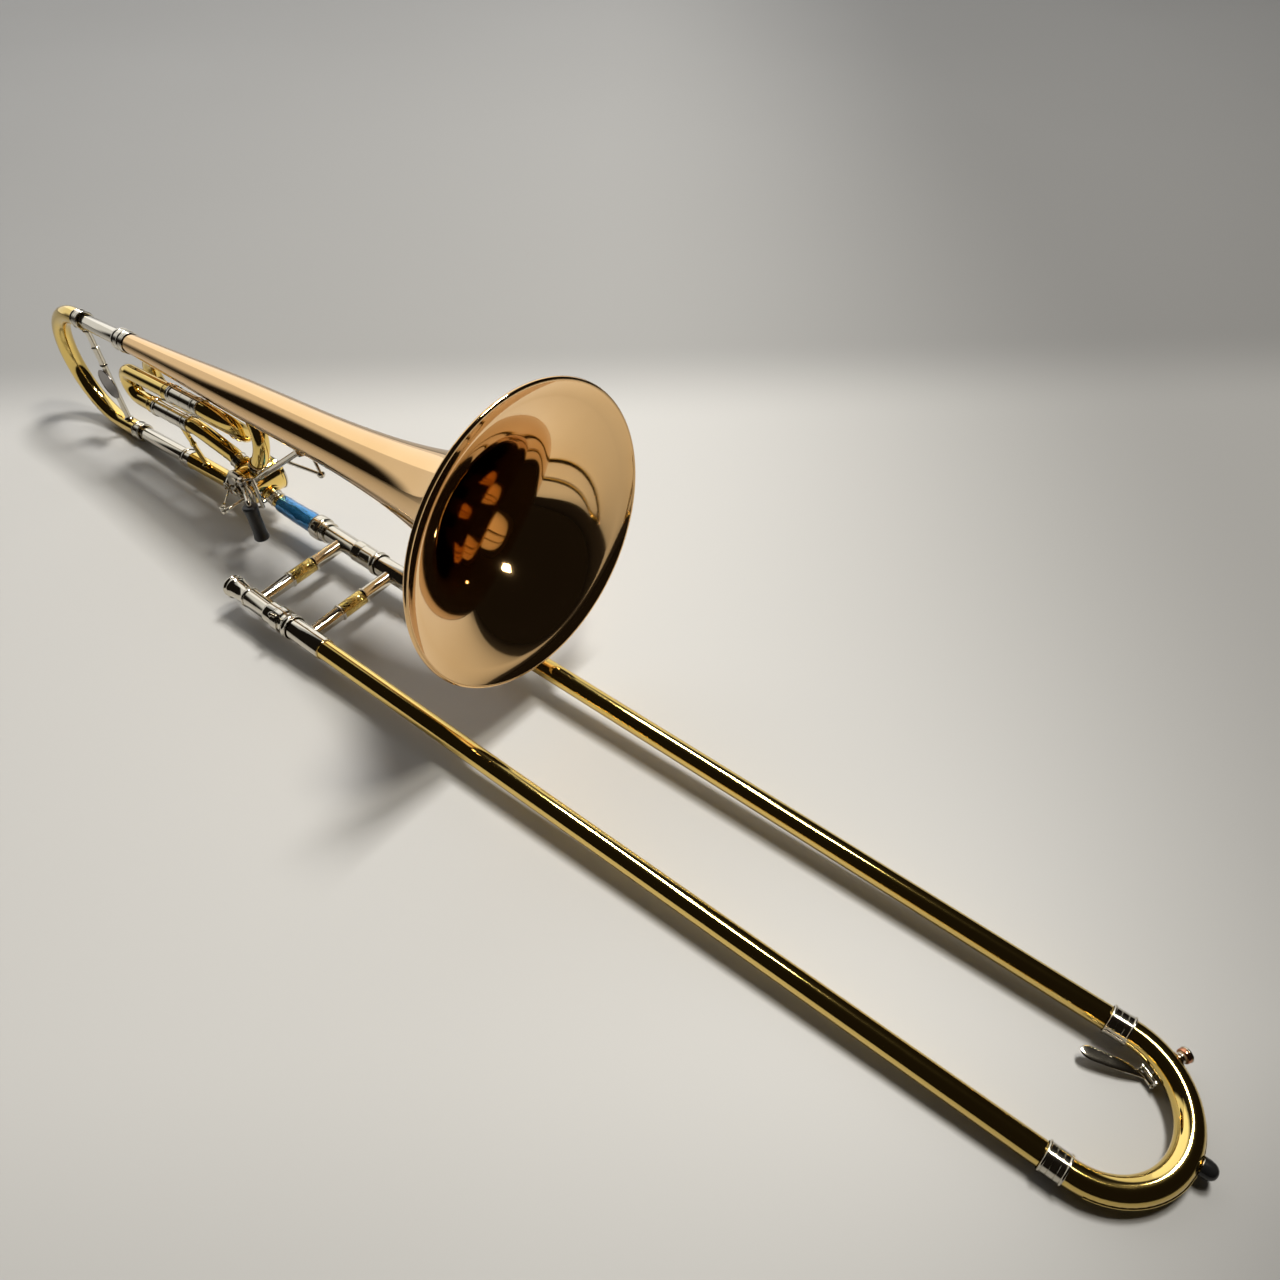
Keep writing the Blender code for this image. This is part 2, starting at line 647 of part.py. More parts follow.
def thumb_lever(section):
    """Thumb lever on its pivot rod, with the grip, the spring and the saddle that carries it."""
    low = VALVE_H - 0.0045
    high = VALVE_H + 0.0185
    pivot = empty("thumb_lever_axis", section, (LEVER_X, LEVER_Y, 0))
    barrel = turned("thumb_lever", ring(low, high, 0.0018, 0.0031), NICKEL, pivot, (0, 0, 0), (0, 0, 1), 16)
    grip = Vector((GRIP_X - LEVER_X, GRIP_Y - LEVER_Y, 0))
    way = grip.normalized()
    over = GRIP_TOP + 0.0030
    top = Vector((0, 0, over))
    arm = [way * 0.0026 + Vector((0, 0, high - 0.002)), grip * 0.7 + top, grip + top,
           grip + Vector((0, 0, GRIP_TOP - GRIP_LENGTH + 0.0015))]
    bars = [pipe("lever_arm_cut", rounded(arm, (0.006, 0.0025)), 0.0018, None, pivot, sides=8)]
    strut = [way * 0.0026 + Vector((0, 0, high - 0.0100)), grip * 0.93 + top]
    bars.append(pipe("lever_strut_cut", strut, 0.0014, None, pivot, sides=8))
    level = Vector((0, 0, LINK_H))
    tail = [level + Vector((0, -0.0026, 0)), level + Vector((0, -TAIL_R, 0))]
    bars.append(pipe("lever_tail_cut", tail, 0.0015, None, pivot, sides=8))
    bars.append(pipe("tail_stud_cut", [tail[1], tail[1] + Vector((0, 0, 0.0050))], STUD_R, None, pivot,
                     sides=8))
    combine(barrel, bars, "UNION")
    half = GRIP_LENGTH / 2
    hole = 0.0018 + GAP
    outline = [
        (half, 0.0058), (half - 0.0012, 0.0066), (half * 0.4, 0.0058), (0, 0.0056), (-half * 0.4, 0.0058),
        (-half + 0.0012, 0.0066), (-half, 0.0058), (-half, hole), (half, hole),
    ]
    turned("thumb_grip", outline, BLACK, pivot, grip + Vector((0, 0, GRIP_TOP - half)), (0, 0, 1), 20)
    turned("lever_pivot_rod", rod_outline(low - 0.0032, high + 0.0062, 0.0015), NICKEL, section,
           (LEVER_X, LEVER_Y, 0), (0, 0, 1), 12)
    spring("lever_spring", 2, 0.0024, 0.00035, section, (LEVER_X, LEVER_Y, high + 0.0018), (0, 0, 1))
    saddle(section, low, high)
    return pivot


def saddle(section, low, high):
    """Post on the casing with two ears that hold the lever's pivot rod."""
    post = Vector((LEVER_X + 0.0055, LEVER_Y + 0.0070, 0))
    level = VALVE_H - 0.0025
    foot = Vector((VALVE_X + CASING_R + GAP, -0.0125, level))
    low_ear = low - 0.0017
    high_ear = high + 0.0045
    ear = turned("lever_saddle", ring(low_ear - 0.0007, low_ear + 0.0007, 0.0018, 0.0034), NICKEL, section,
                 (LEVER_X, LEVER_Y, 0), (0, 0, 1), 16)
    upper = turned("upper_ear_cut", ring(high_ear - 0.0007, high_ear + 0.0007, 0.0018, 0.0034), None,
                   section, (LEVER_X, LEVER_Y, 0), (0, 0, 1), 16)
    way = rounded([foot, (post.x, foot.y, level), (post.x, post.y, level)], [0.003])
    joins = [upper, pipe("saddle_foot_cut", way, 0.0016, None, section, sides=8)]
    upright = [post + Vector((0, 0, low_ear - 0.0010)), post + Vector((0, 0, high_ear + 0.0010))]
    joins.append(pipe("saddle_post_cut", upright, 0.0017, None, section, sides=8))
    for height in (low_ear, high_ear):
        reach = Vector((LEVER_X, LEVER_Y, 0)) - post
        near = post + reach * 0.70
        joins.append(pipe("ear_arm_cut", [post + Vector((0, 0, height)), near + Vector((0, 0, height))],
                          0.0011, None, section, sides=8))
    combine(ear, joins, "UNION")


def link(pivot):
    """Link from the lever's tail to the stop arm, with an eye at each end."""
    tail = Vector((0, -TAIL_R, LINK_H + 0.0035))
    hinge = empty("link_axis", pivot, tail)
    stud = Vector((VALVE_X + STOP_ARM_R * math.cos(LINK_START) - LEVER_X, -ARM_START - 0.0060 - LEVER_Y,
                   LINK_H + 0.0001))
    reach = stud - tail
    way = reach.normalized()
    eye = turned("lever_link", ring(-0.0010, 0.0010, STUD_R + GAP, 0.0028), NICKEL, hinge, (0, 0, 0),
                 (0, 0, 1), 16)
    far_eye = turned("far_eye_cut", ring(-0.0009, 0.0009, STUD_R + 0.0014, 0.0040), None, hinge, reach,
                     (0, 1, 0), 16)
    side = reach + Vector((0.0032, 0, 0))
    bar = pipe("link_rod_cut", [way * 0.0021, side], 0.0009, None, hinge, sides=8)
    combine(eye, [far_eye, bar], "UNION")
    return hinge


def fork_path(centre, start, end, steps=10):
    """Points of a U-bow between two ends whose legs run along X to the centre's X."""
    middle = (start + end) / 2
    side = start - middle
    reach = side.length
    side.normalize()
    outward = math.copysign(reach, centre - start.x)
    path = [start]
    for i in range(steps + 1):
        angle = math.pi * i / steps
        level = Vector((centre + outward * math.sin(angle), middle.y, middle.z))
        across = side * reach * math.cos(angle)
        path.append(level + Vector((0, across.y, across.z)))
    path.append(end)
    return path


def f_attachment(section):
    """Double loop of the F attachment, from the valve and back to it."""
    start, way = port(1, GAP)
    rise = (UPPER_H - start.z) / way.z
    corner = Vector((start.x + way.x * rise, FAR, UPPER_H))
    rear = fork_path(REAR_BOW_X, Vector((FRONT_BOW_X, FAR, UPPER_H)),
                     Vector((FRONT_BOW_X - GAP, FAR, FAR_LOWER_H)))
    path = rounded([start, start + way * 0.003, corner, rear[0]], [0.012, 0.030]) + rear[1:]
    pipe("f_far_loop", path, F_TUBE_R, BRASS, section, F_WALL)
    path = fork_path(FRONT_BOW_X + 0.002, Vector((FRONT_BOW_X, NEAR, UPPER_H)),
                     Vector((FRONT_BOW_X, FAR, FAR_LOWER_H)))
    pipe("f_front_bow", path, F_TUBE_R, BRASS, section, F_WALL)
    start, way = port(2, GAP)
    knee = start + way * 0.010
    turn = Vector((F_LOWER_END_X + 0.014, NEAR, MIDDLE_H))
    end = Vector((F_LOWER_END_X, NEAR, MIDDLE_H))
    pipe("f_middle_tube", rounded([start, knee, turn, end], [0.012, 0.012]), F_TUBE_R, BRASS, section,
         F_WALL)


def f_slide(section, pivot):
    """Tuning slide of the F attachment: a bow whose two legs run in fixed receivers."""
    bore = F_TUBE_R - F_WALL
    runs = (("upper", UPPER_H, F_UPPER_START_X, FRONT_BOW_X - GAP, 0.0345),
            ("lower", MIDDLE_H, F_LOWER_START_X, F_LOWER_END_X - GAP, 0.0440),
    )
    legs = []
    for side, height, first, last, insert in runs:
        body = [(last, F_RECEIVER_R), (first + 0.004, F_RECEIVER_R), (first + 0.004, F_RECEIVER_R + 0.0009),
                (first, F_RECEIVER_R + 0.0009), (first, bore), (last, bore)]
        turned("f_receiver_" + side, body, NICKEL, section, (0, NEAR, height), sides=20)
        leg = ring(first - 0.012, first + insert, bore - 2 * GAP - 0.0002, bore - GAP)
        legs.append(turned("leg_cut", leg, None, pivot, (0, NEAR, height), sides=20))
    path = fork_path(REAR_BOW_X, Vector((F_UPPER_START_X - GAP, NEAR, UPPER_H)),
                     Vector((F_LOWER_START_X - GAP, NEAR, MIDDLE_H)))
    bow = pipe("f_slide_bow", path, F_TUBE_R, BRASS, pivot, F_TUBE_R - bore + 2 * GAP)
    combine(bow, legs, "UNION")


def main_tubes(section):
    """Tube from the valve to the lower receiver, the receiver itself and the ferrules of both receivers."""
    start, way = port(3, GAP)
    drop = (-LEG_SPACING - start.z) / way.z
    corner = start + way * drop
    end = Vector((LOWER_RECEIVER_END_X + GAP, 0, -LEG_SPACING))
    pipe("valve_outlet_tube", rounded([start, corner, end], [0.0082]), F_TUBE_R, BRASS, section, F_WALL)
    bore = TUNING_LEG_R + GAP
    joint = [
        (0.0060, F_TUBE_R + GAP + 0.0006), (0.0012, F_TUBE_R + GAP + 0.0006), (0, 0.0096), (-0.0050, 0.0096),
        (-0.0050, TUNING_RECEIVER_R + GAP), (0, TUNING_RECEIVER_R + GAP), (GAP * 2, F_TUBE_R + GAP),
        (0.0060, F_TUBE_R + GAP),
    ]
    level = (LOWER_RECEIVER_END_X + GAP, 0, -LEG_SPACING)
    turned("lower_joint_ferrule", joint, NICKEL, section, level)
    mouth = LOWER_RECEIVER_START_X
    body = [
        (LOWER_RECEIVER_END_X, TUNING_RECEIVER_R), (mouth + 0.0100, TUNING_RECEIVER_R),
        (mouth + 0.0090, TUNING_RECEIVER_R + 0.0008), (mouth + 0.0018, TUNING_RECEIVER_R + 0.0008),
        (mouth + 0.0018, 0.0096), (mouth - 0.0025, 0.0096), (mouth - 0.0025, bore),
        (LOWER_RECEIVER_END_X, bore),
    ]
    turned("lower_receiver", body, BRASS, section, (0, 0, -LEG_SPACING))
    stem = BELL_OUTLINE[0][1]
    collar = [
        (0.0080, 0.0097), (0.0016, 0.0097), (0.0016, 0.0103), (-0.0090, 0.0103), (-0.0090, bore),
        (-GAP, bore), (-GAP, stem + GAP), (0.0080, stem + GAP + 0.0004),
    ]
    turned("stem_ferrule", collar, NICKEL, section, (STEM_END_X, 0, 0))


def tuning_slide(pivot):
    """Main tuning slide: bow, two nickel legs, their ferrules, the brace and its plain disc."""
    bow_bore = TUNING_LEG_R + GAP
    path = fork_path(TUNING_BOW_X, Vector((UPPER_RING_X, 0, 0)), Vector((LOWER_RING_X, 0, -LEG_SPACING)))
    bow = pipe("tuning_slide_bow", path, TUNING_BOW_R, BRASS, pivot, TUNING_BOW_R - bow_bore)
    cups = []
    for side, height, first, last in (
            ("upper", 0, UPPER_RING_X, STEM_END_X + TUNING_INSERT),
            ("lower", -LEG_SPACING, LOWER_RING_X, LOWER_RECEIVER_START_X + TUNING_INSERT)):
        leg = ring(first - 0.010, last, TUNING_LEG_R - 0.0004, TUNING_LEG_R)
        turned("tuning_leg_" + side, leg, NICKEL, pivot, (0, 0, height))
        cup = ring(-0.0090, 0.0018, TUNING_BOW_R - 0.0003, TUNING_BOW_R + 0.0009)
        cups.append(turned("ring_cut", cup, None, pivot, (first, 0, height), sides=20))
    combine(bow, cups, "UNION")
    top = -TUNING_BOW_R - 0.0009 - GAP
    bottom = -LEG_SPACING + TUNING_BOW_R + GAP
    place = (TUNING_BRACE_X, 0, 0)
    thick = 0.0038
    post = [(top, 0), (top, 0.0029), (-0.028, 0.0029), (-0.028, thick), (-0.046, thick), (-0.046, 0.0029),
            (bottom, 0.0029), (bottom, 0)]
    turned("tuning_brace", post, NICKEL, pivot, place, (0, 0, 1), 12)
    turned("tuning_disc", rod_outline(0, 0.0012, 0.0150), NICKEL, pivot,
           (TUNING_BRACE_X, -0.0029 - GAP, DISC_H), (0, -1, 0), 28)


def rod(name, start, end, radius, look, parent, sides=12):
    return pipe(name, [Vector(start), Vector(end)], radius, look, parent, sides=sides)


def braces(section):
    """Rods that tie the valve, the loops, the lower tube and the bell together."""
    stem_guide = [(-0.21, 0.0196 + GAP), (-0.30, 0.0172 + GAP), (-0.30, 0.002), (-0.21, 0.002)]
    clear = as_mesh(guide(turned("stem_cut", stem_guide, None, section, sides=BELL_SIDES)))
    for name, foot, top, radius, look in (
            ("bell_brace_near", (-0.3366, -0.0128, -0.0803), (-0.243, -0.0085, -0.0150), 0.0026, NICKEL),
            ("bell_brace_far", (-0.3366, 0.0155, -0.0803), (-0.250, 0.0110, -0.0140), 0.0018, BRASS)):
        bar = rod(name, foot, top, radius, look, section)
        along = Vector(top) - Vector(foot)
        place = Vector(foot) + along * 0.965
        flange = turned("flange_cut", rod_outline(-0.0030, 0.0040, radius + 0.0024), None, section, place,
                        along, 16)
        combine(combine(bar, [flange], "UNION"), [clear], "DIFFERENCE")
    rod("f_lower_brace", (-0.436, -0.0112, MIDDLE_H - F_RECEIVER_R - GAP),
        (-0.436, -0.0030, -LEG_SPACING + TUNING_RECEIVER_R + 0.0010), 0.0022, BRASS, section)


def world_points(thing):
    """Corners of the finished object in the world."""
    seen = thing.evaluated_get(bpy.context.evaluated_depsgraph_get())
    mesh = seen.to_mesh()
    points = [seen.matrix_world @ corner.co for corner in mesh.vertices]
    seen.to_mesh_clear()
    return points


def lay_down(rest):
    """Turns the whole object on to the three pieces that it rests on, with its box centred on the origin."""
    for _ in range(4):
        bpy.context.view_layer.update()
        feet = []
        for name in ("crook_ferrule_a", "water_key_saddle", "tuning_slide_bow"):
            feet.append(min(world_points(bpy.data.objects[name]), key=lambda point: point.z))
        up = (feet[1] - feet[0]).cross(feet[2] - feet[0]).normalized()
        if up.z < 0:
            up.negate()
        matrix = up.rotation_difference(Vector((0, 0, 1))).to_matrix().to_4x4() @ rest.matrix_world
        roll, pitch, _yaw = matrix.to_euler()
        rest.rotation_euler = (roll, pitch, 0)
    bpy.context.view_layer.update()
    points = []
    for thing in parts.objects:
        if thing.type != "EMPTY":
            points.extend(world_points(thing))
    cloud = np.array([tuple(point) for point in points])
    low = cloud.min(axis=0)
    high = cloud.max(axis=0)
    rest.location = (-(low[0] + high[0]) / 2, -(low[1] + high[1]) / 2, -low[2])
    bpy.context.view_layer.update()


def build():
    start_scene()
    rest = empty("rest_frame")
    half = TUBE_SPACING / 2
    receiver(rest)
    inner_tube("inner_tube_a", -half, rest)
    inner_tube("inner_tube_b", half, rest)
    cork_barrel("cork_barrel_a", -half, INNER_START_X, rest)
    cork_barrel("cork_barrel_b", half, TENON_END_X + GAP, rest)
    for name, side in (("slide_cork_a", -half), ("slide_cork_b", half)):
        cork = ring(BARREL_STEP_X + 0.0038, OUTER_START_X - GAP, SLIDE_BORE / 2 + INNER_WALL + GAP,
                    OUTER_TUBE_R)
        turned(name, cork, CORK, rest, (0, side, 0))
    brace("inner_brace", INNER_BRACE_X, BARREL_BACK_R, rest)
    tenon(rest)
    bell_lock_nut(empty("bell_nut_axis", rest, ((NUT_START_X + NUT_END_X) / 2, half, 0)))
    slide_lock(empty("slide_lock_axis", rest, (BARREL_STEP_X + 0.0145, -half, 0)))
    moving = empty("hand_slide_frame", rest)
    slide_tube("outer_tube_a", -half, moving)
    slide_tube("outer_tube_b", half, moving)
    brace("hand_brace", HAND_BRACE_X, SLEEVE_R, moving)
    crook(moving)
    bumper(moving)
    water_key(moving)
    swivel = empty("bell_swivel_axis", rest, (0, half, 0), (-BELL_LEAN, 0, 0))
    section = empty("bell_frame", swivel, (BELL_X, 0, BELL_HEIGHT), (0, -BELL_TILT, 0))
    bell(section)
    neckpipe(section, swivel)
    casing(section)
    stop_arm(rotor(section), section)
    link(thumb_lever(section))
    f_attachment(section)
    f_slide(section, empty("f_slide_frame", section))
    main_tubes(section)
    tuning_slide(empty("tuning_slide_frame", section))
    braces(section)
    lay_down(rest)


build()
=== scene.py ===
"""Looks of a tenor trombone with an F attachment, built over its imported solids."""
import math

import bpy
import numpy as np
from mathutils import Euler, Matrix, Vector


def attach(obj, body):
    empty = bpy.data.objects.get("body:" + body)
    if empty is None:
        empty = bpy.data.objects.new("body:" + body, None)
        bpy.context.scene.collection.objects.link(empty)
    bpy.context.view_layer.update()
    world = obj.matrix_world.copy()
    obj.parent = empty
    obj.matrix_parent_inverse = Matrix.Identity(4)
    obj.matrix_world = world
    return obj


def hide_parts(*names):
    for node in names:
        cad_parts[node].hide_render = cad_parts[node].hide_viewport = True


bl_info = {
    "name": "Tenor Trombone",
    "version": (1, 0, 0),
    "blender": (4, 5, 0),
    "location": "View3D > Sidebar > Trombone",
    "description": "Builds the visible pieces and finishes of a tenor trombone with an F attachment",
    "category": "Add Mesh",
}

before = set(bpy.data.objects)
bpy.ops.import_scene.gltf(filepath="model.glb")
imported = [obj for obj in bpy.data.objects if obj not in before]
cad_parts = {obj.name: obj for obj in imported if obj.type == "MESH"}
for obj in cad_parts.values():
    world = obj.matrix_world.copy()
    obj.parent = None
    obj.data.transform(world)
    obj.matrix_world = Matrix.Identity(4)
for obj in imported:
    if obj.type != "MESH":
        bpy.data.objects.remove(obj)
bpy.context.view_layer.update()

# Pieces are modelled in millimetres. These frames place them and bring them to metres. HALF is half the
# distance between the slide's tubes, BELL_BACK and BELL_HEIGHT lead from the slide to the bell's rim.
HALF = 45
BELL_BACK = 432
BELL_HEIGHT = 127.14
BELL_TILT = math.radians(3.8)
BELL_LEAN = math.radians(1.4)
LIE = Euler((0.02857156, 0.02222179, 0)).to_matrix().to_4x4()
SLIDE = Matrix.Translation((0.50691313, -0.04445614, 0.01076802)) @ LIE @ Matrix.Scale(0.001, 4)
SWIVEL = SLIDE @ Matrix.Translation((0, HALF, 0)) @ Matrix.Rotation(-BELL_LEAN, 4, "X")
BELL = SWIVEL @ Matrix.Translation((-BELL_BACK, 0, BELL_HEIGHT)) @ Matrix.Rotation(-BELL_TILT, 4, "Y")

# Gap between pieces, tube radii and walls, and the places where tubes end, as in the solids.
CLEAR = 0.3
CROOK_X = 8.5
CROOK_R = 7.8
OUTER_R = 7.5
OUTER_BORE = 7.1
NIPPLE = 2.2
TENON_END = -735
TUBE_R = 7.1
NECK_R = 6.8
TUBE_WALL = 0.5
LOWER_LEG = -114.5
SHARP = math.radians(38)
RUNS_BACK = (-0.4, -0.2)
X_AXIS = Vector((1, 0, 0))
Y_AXIS = Vector((0, 1, 0))
Z_AXIS = Vector((0, 0, 1))


class TromboneSizes(bpy.types.PropertyGroup):
    """How finely the round pieces are turned, and how wide their edges are rounded."""

    sides: bpy.props.IntProperty(
        name="Sides", description="Sides of a turned piece", default=56, min=16, max=128
    )
    bell_sides: bpy.props.IntProperty(
        name="Bell sides", description="Sides of the bell", default=144, min=32, max=256
    )
    edge: bpy.props.FloatProperty(
        name="Edge", description="Width of the rounding on sharp edges", default=0.00016, unit="LENGTH"
    )
    arc_step: bpy.props.FloatProperty(
        name="Bend step", description="Angle of one step along a bend", default=math.radians(5),
        subtype="ANGLE",
    )


def colour_setting(name, description, default):
    return bpy.props.FloatVectorProperty(
        name=name, description=description, subtype="COLOR", default=default,
    )


class TromboneFinishes(bpy.types.PropertyGroup):
    """Colours of the metals and of the other finishes."""

    brass: colour_setting("Yellow brass", "Lacquered yellow brass", (0.87, 0.64, 0.20))
    gold_brass: colour_setting("Gold brass", "Lacquered gold brass of the bell", (0.80, 0.53, 0.26))
    nickel: colour_setting("Nickel silver", "Polished nickel silver", (0.68, 0.64, 0.55))
    film: colour_setting("Film", "Protective film round the receiver", (0.01, 0.20, 0.48))
    floor: colour_setting("Floor", "Floor and backdrop", (0.62, 0.61, 0.59))


def feed(tree, slot, item):
    """Links a value to a socket, or sets the socket to a plain number or colour."""
    if isinstance(item, Value):
        tree.links.new(item.socket, slot)
    else:
        slot.default_value = item


class Value:
    """Wraps a shader socket, so that shader maths can be written as expressions."""

    def __init__(self, tree, socket):
        self.tree = tree
        self.socket = socket

    def math(self, operation, first, second):
        node = self.tree.nodes.new("ShaderNodeMath")
        node.operation = operation
        for slot, item in zip(node.inputs, (first, second)):
            feed(self.tree, slot, item)
        return Value(self.tree, node.outputs[0])

    def __add__(self, other):
        return self.math("ADD", self, other)

    __radd__ = __add__

    def __mul__(self, other):
        return self.math("MULTIPLY", self, other)

    __rmul__ = __mul__

    def __sub__(self, other):
        return self.math("SUBTRACT", self, other)

    def __rsub__(self, other):
        return self.math("SUBTRACT", other, self)

    def power(self, exponent):
        return self.math("POWER", self, exponent)


class Nodes:
    """A node tree under construction, with one method that adds its nodes."""

    def __init__(self, tree):
        self.tree = tree

    def node(self, kind, settings=None, output=0, **sockets):
        node = self.tree.nodes.new(kind)
        for key, value in (settings or {}).items():
            setattr(node, key, value)
        for key, value in sockets.items():
            slot = int(key[2:]) if key.startswith("in") else key.replace("_", " ")
            feed(self.tree, node.inputs[slot], value)
        return Value(self.tree, node.outputs[output])

    def mirrored(self):
        """1 for what the metal mirrors, 0 for what is seen straight on."""
        return self.node("ShaderNodeLightPath", output="Is Glossy Ray")

    def noise(self, vector, scale, detail=2.0, roughness=0.5):
        return self.node(
            "ShaderNodeTexNoise", Vector=vector, Scale=scale, Detail=detail, Roughness=roughness,
        )

    def stretched(self, vector, scale):
        return self.node("ShaderNodeMapping", Vector=vector, Scale=scale)

    def blend(self, factor, first, second):
        node = self.tree.nodes.new("ShaderNodeMix")
        node.data_type = "RGBA"
        feed(self.tree, node.inputs[0], factor)
        for slot, colour in ((node.inputs[6], first), (node.inputs[7], second)):
            feed(self.tree, slot, colour if isinstance(colour, Value) else (*colour, 1))
        return Value(self.tree, node.outputs[2])

    def along(self, vector, way, low, high):
        """Smooth 0 to 1 as the vector's reach along the way goes from low to high."""
        reach = self.node(
            "ShaderNodeVectorMath", {"operation": "DOT_PRODUCT"}, output=1, in0=vector, in1=tuple(way),
        )
        settings = {"interpolation_type": "SMOOTHSTEP"}
        return self.node("ShaderNodeMapRange", settings, Value=reach, From_Min=low, From_Max=high)

    def bump(self, height, strength, distance):
        return self.node("ShaderNodeBump", Height=height, Strength=strength, Distance=distance)


class Finish(Nodes):
    """A material under construction."""

    def __init__(self, name):
        self.material = bpy.data.materials.new(name)
        self.material.use_nodes = True
        super().__init__(self.material.node_tree)
        self.shader = self.tree.nodes["Principled BSDF"]

    def place(self):
        return self.node("ShaderNodeTexCoord", output=3)

    def set(self, **sockets):
        for key, value in sockets.items():
            feed(self.tree, self.shader.inputs[key.replace("_", " ")], value)


def shaded(colour, *shares):
    """The colour made deeper, by one share or by one for each channel."""
    return tuple(channel * share for channel, share in zip(colour, shares * 3))


def polished_metal(name, colour, rough=0.07, coat=0.35, haze=0.05):
    """Polished and lacquered metal with a faint haze of fingerprints and a barely wavy lacquer."""
    made = Finish(name)
    spot = made.place()
    clouds = made.noise(spot, 22.0, 3.0)
    smears = made.noise(made.stretched(spot, (1.0, 3.0, 3.0)), 60.0, 4.0, 0.6)
    fine = made.noise(spot, 900.0, 2.0)
    deep = shaded(colour, 0.90, 0.86, 0.78)
    made.set(
        Base_Color=made.blend(clouds.power(1.6), colour, deep),
        Metallic=1.0,
        Roughness=smears.power(3.0) * haze + fine * 0.02 + rough,
        Coat_Weight=coat,
        Coat_Roughness=0.04,
        Normal=made.bump(clouds * 0.6 + smears * 0.4, 0.03, 0.0004),
    )
    return made.material


def turned_metal(name, colour):
    """Bright metal that keeps the fine rings of the lathe."""
    made = Finish(name)
    spot = made.place()
    rings = made.noise(made.stretched(spot, (1.0, 0.02, 0.02)), 2600.0, 1.0)
    clouds = made.noise(spot, 30.0, 3.0)
    made.set(
        Base_Color=made.blend(clouds, colour, shaded(colour, 0.86)),
        Metallic=1.0,
        Roughness=rings * 0.05 + clouds * 0.04 + 0.07,
        Normal=made.bump(rings, 0.02, 0.0001),
    )
    return made.material


def engraved_metal(name, colour):
    """Bright metal cut all over with fine engraved marks."""
    made = Finish(name)
    spot = made.place()
    marks = made.node("ShaderNodeTexVoronoi", {"feature": "DISTANCE_TO_EDGE"}, Vector=spot, Scale=620.0)
    cut_in = made.node("ShaderNodeMapRange", Value=marks, From_Min=0.0, From_Max=0.12)
    made.set(
        Base_Color=made.blend(cut_in, shaded(colour, 0.55), colour),
        Metallic=1.0,
        Roughness=cut_in * -0.14 + 0.24,
        Normal=made.bump(cut_in, 0.5, 0.0004),
    )
    return made.material


def wrinkled_film(name, colour):
    """Glossy blue protective film, drawn into long wrinkles."""
    made = Finish(name)
    spot = made.place()
    folds = made.noise(made.stretched(spot, (0.30, 1.0, 1.0)), 190.0, 3.0, 0.55)
    patches = made.noise(spot, 90.0, 2.0)
    pale = tuple(min(1.0, channel * 1.3 + 0.10) for channel in colour)
    made.set(
        Base_Color=made.blend(folds.power(2.5), colour, pale),
        Roughness=patches * 0.12 + 0.05,
        Metallic=0.75,
        Coat_Weight=0.6,
        Coat_Roughness=0.05,
        Normal=made.bump(folds, 0.9, 0.0012),
    )
    return made.material


def moulded_black(name, colour, rough, grain=1400.0):
    """Black plastic or rubber with the fine grain of its mould and paler rubbed places."""
    made = Finish(name)
    spot = made.place()
    skin = made.noise(spot, grain, 2.0)
    rubbed = made.noise(spot, 120.0, 3.0)
    pale = tuple(channel + 0.02 for channel in colour)
    made.set(
        Base_Color=made.blend(rubbed.power(3.0), colour, pale),
        Roughness=rubbed * 0.16 + rough,
        Specular_IOR_Level=0.45,
        Normal=made.bump(skin, 0.06, 0.0002),
    )
    return made.material


def pressed_cork(name, colour):
    """Cork with its dark and pale grains."""
    made = Finish(name)
    spot = made.place()
    grains = made.node("ShaderNodeTexVoronoi", Vector=spot, Scale=1300.0)
    fleck = made.noise(spot, 2400.0, 2.0)
    made.set(
        Base_Color=made.blend(grains * 0.8 + fleck * 0.3, colour, shaded(colour, 0.45)),
        Roughness=fleck * 0.1 + 0.85,
        Normal=made.bump(grains, 0.5, 0.0002),
    )
    return made.material


FINISHES = {}


def finish_named(name):
    """Makes a finish the first time that it is asked for."""
    if name not in FINISHES:
        colours = bpy.context.scene.trombone_finishes
        makers = {
            "yellow_brass": lambda: polished_metal(name, tuple(colours.brass), 0.06, 0.2),
            "gold_brass": lambda: polished_metal(name, tuple(colours.gold_brass), 0.05, 0.12, 0.03),
            "nickel_silver": lambda: polished_metal(name, tuple(colours.nickel), 0.08, 0.2),
            "turned_nickel": lambda: turned_metal(name, tuple(colours.nickel)),
            "engraved_brass": lambda: engraved_metal(name, tuple(colours.brass)),
            "dark_nickel": lambda: polished_metal(name, (0.20, 0.18, 0.165), 0.16, 0.1),
            "copper": lambda: polished_metal(name, (0.66, 0.29, 0.16), 0.12, 0.1),
            "blue_film": lambda: wrinkled_film(name, tuple(colours.film)),
            "black_plastic": lambda: moulded_black(name, (0.006, 0.006, 0.007), 0.26),
            "black_rubber": lambda: moulded_black(name, (0.010, 0.010, 0.010), 0.12, 900.0),
            "cork": lambda: pressed_cork(name, (0.50, 0.31, 0.16)),
            "spring_steel": lambda: turned_metal(name, (0.50, 0.50, 0.51)),
        }
        FINISHES[name] = makers[name]()
    return FINISHES[name]


def choose(piece):
    """Leaves this piece alone selected and active."""
    bpy.ops.object.select_all(action="DESELECT")
    piece.select_set(True)
    bpy.context.view_layer.objects.active = piece


def settle(piece, matrix):
    """Gives the piece its place and turn, and puts them into its mesh."""
    piece.matrix_world = matrix @ piece.matrix_world
    choose(piece)
    bpy.ops.object.transform_apply(location=True, rotation=True, scale=True)


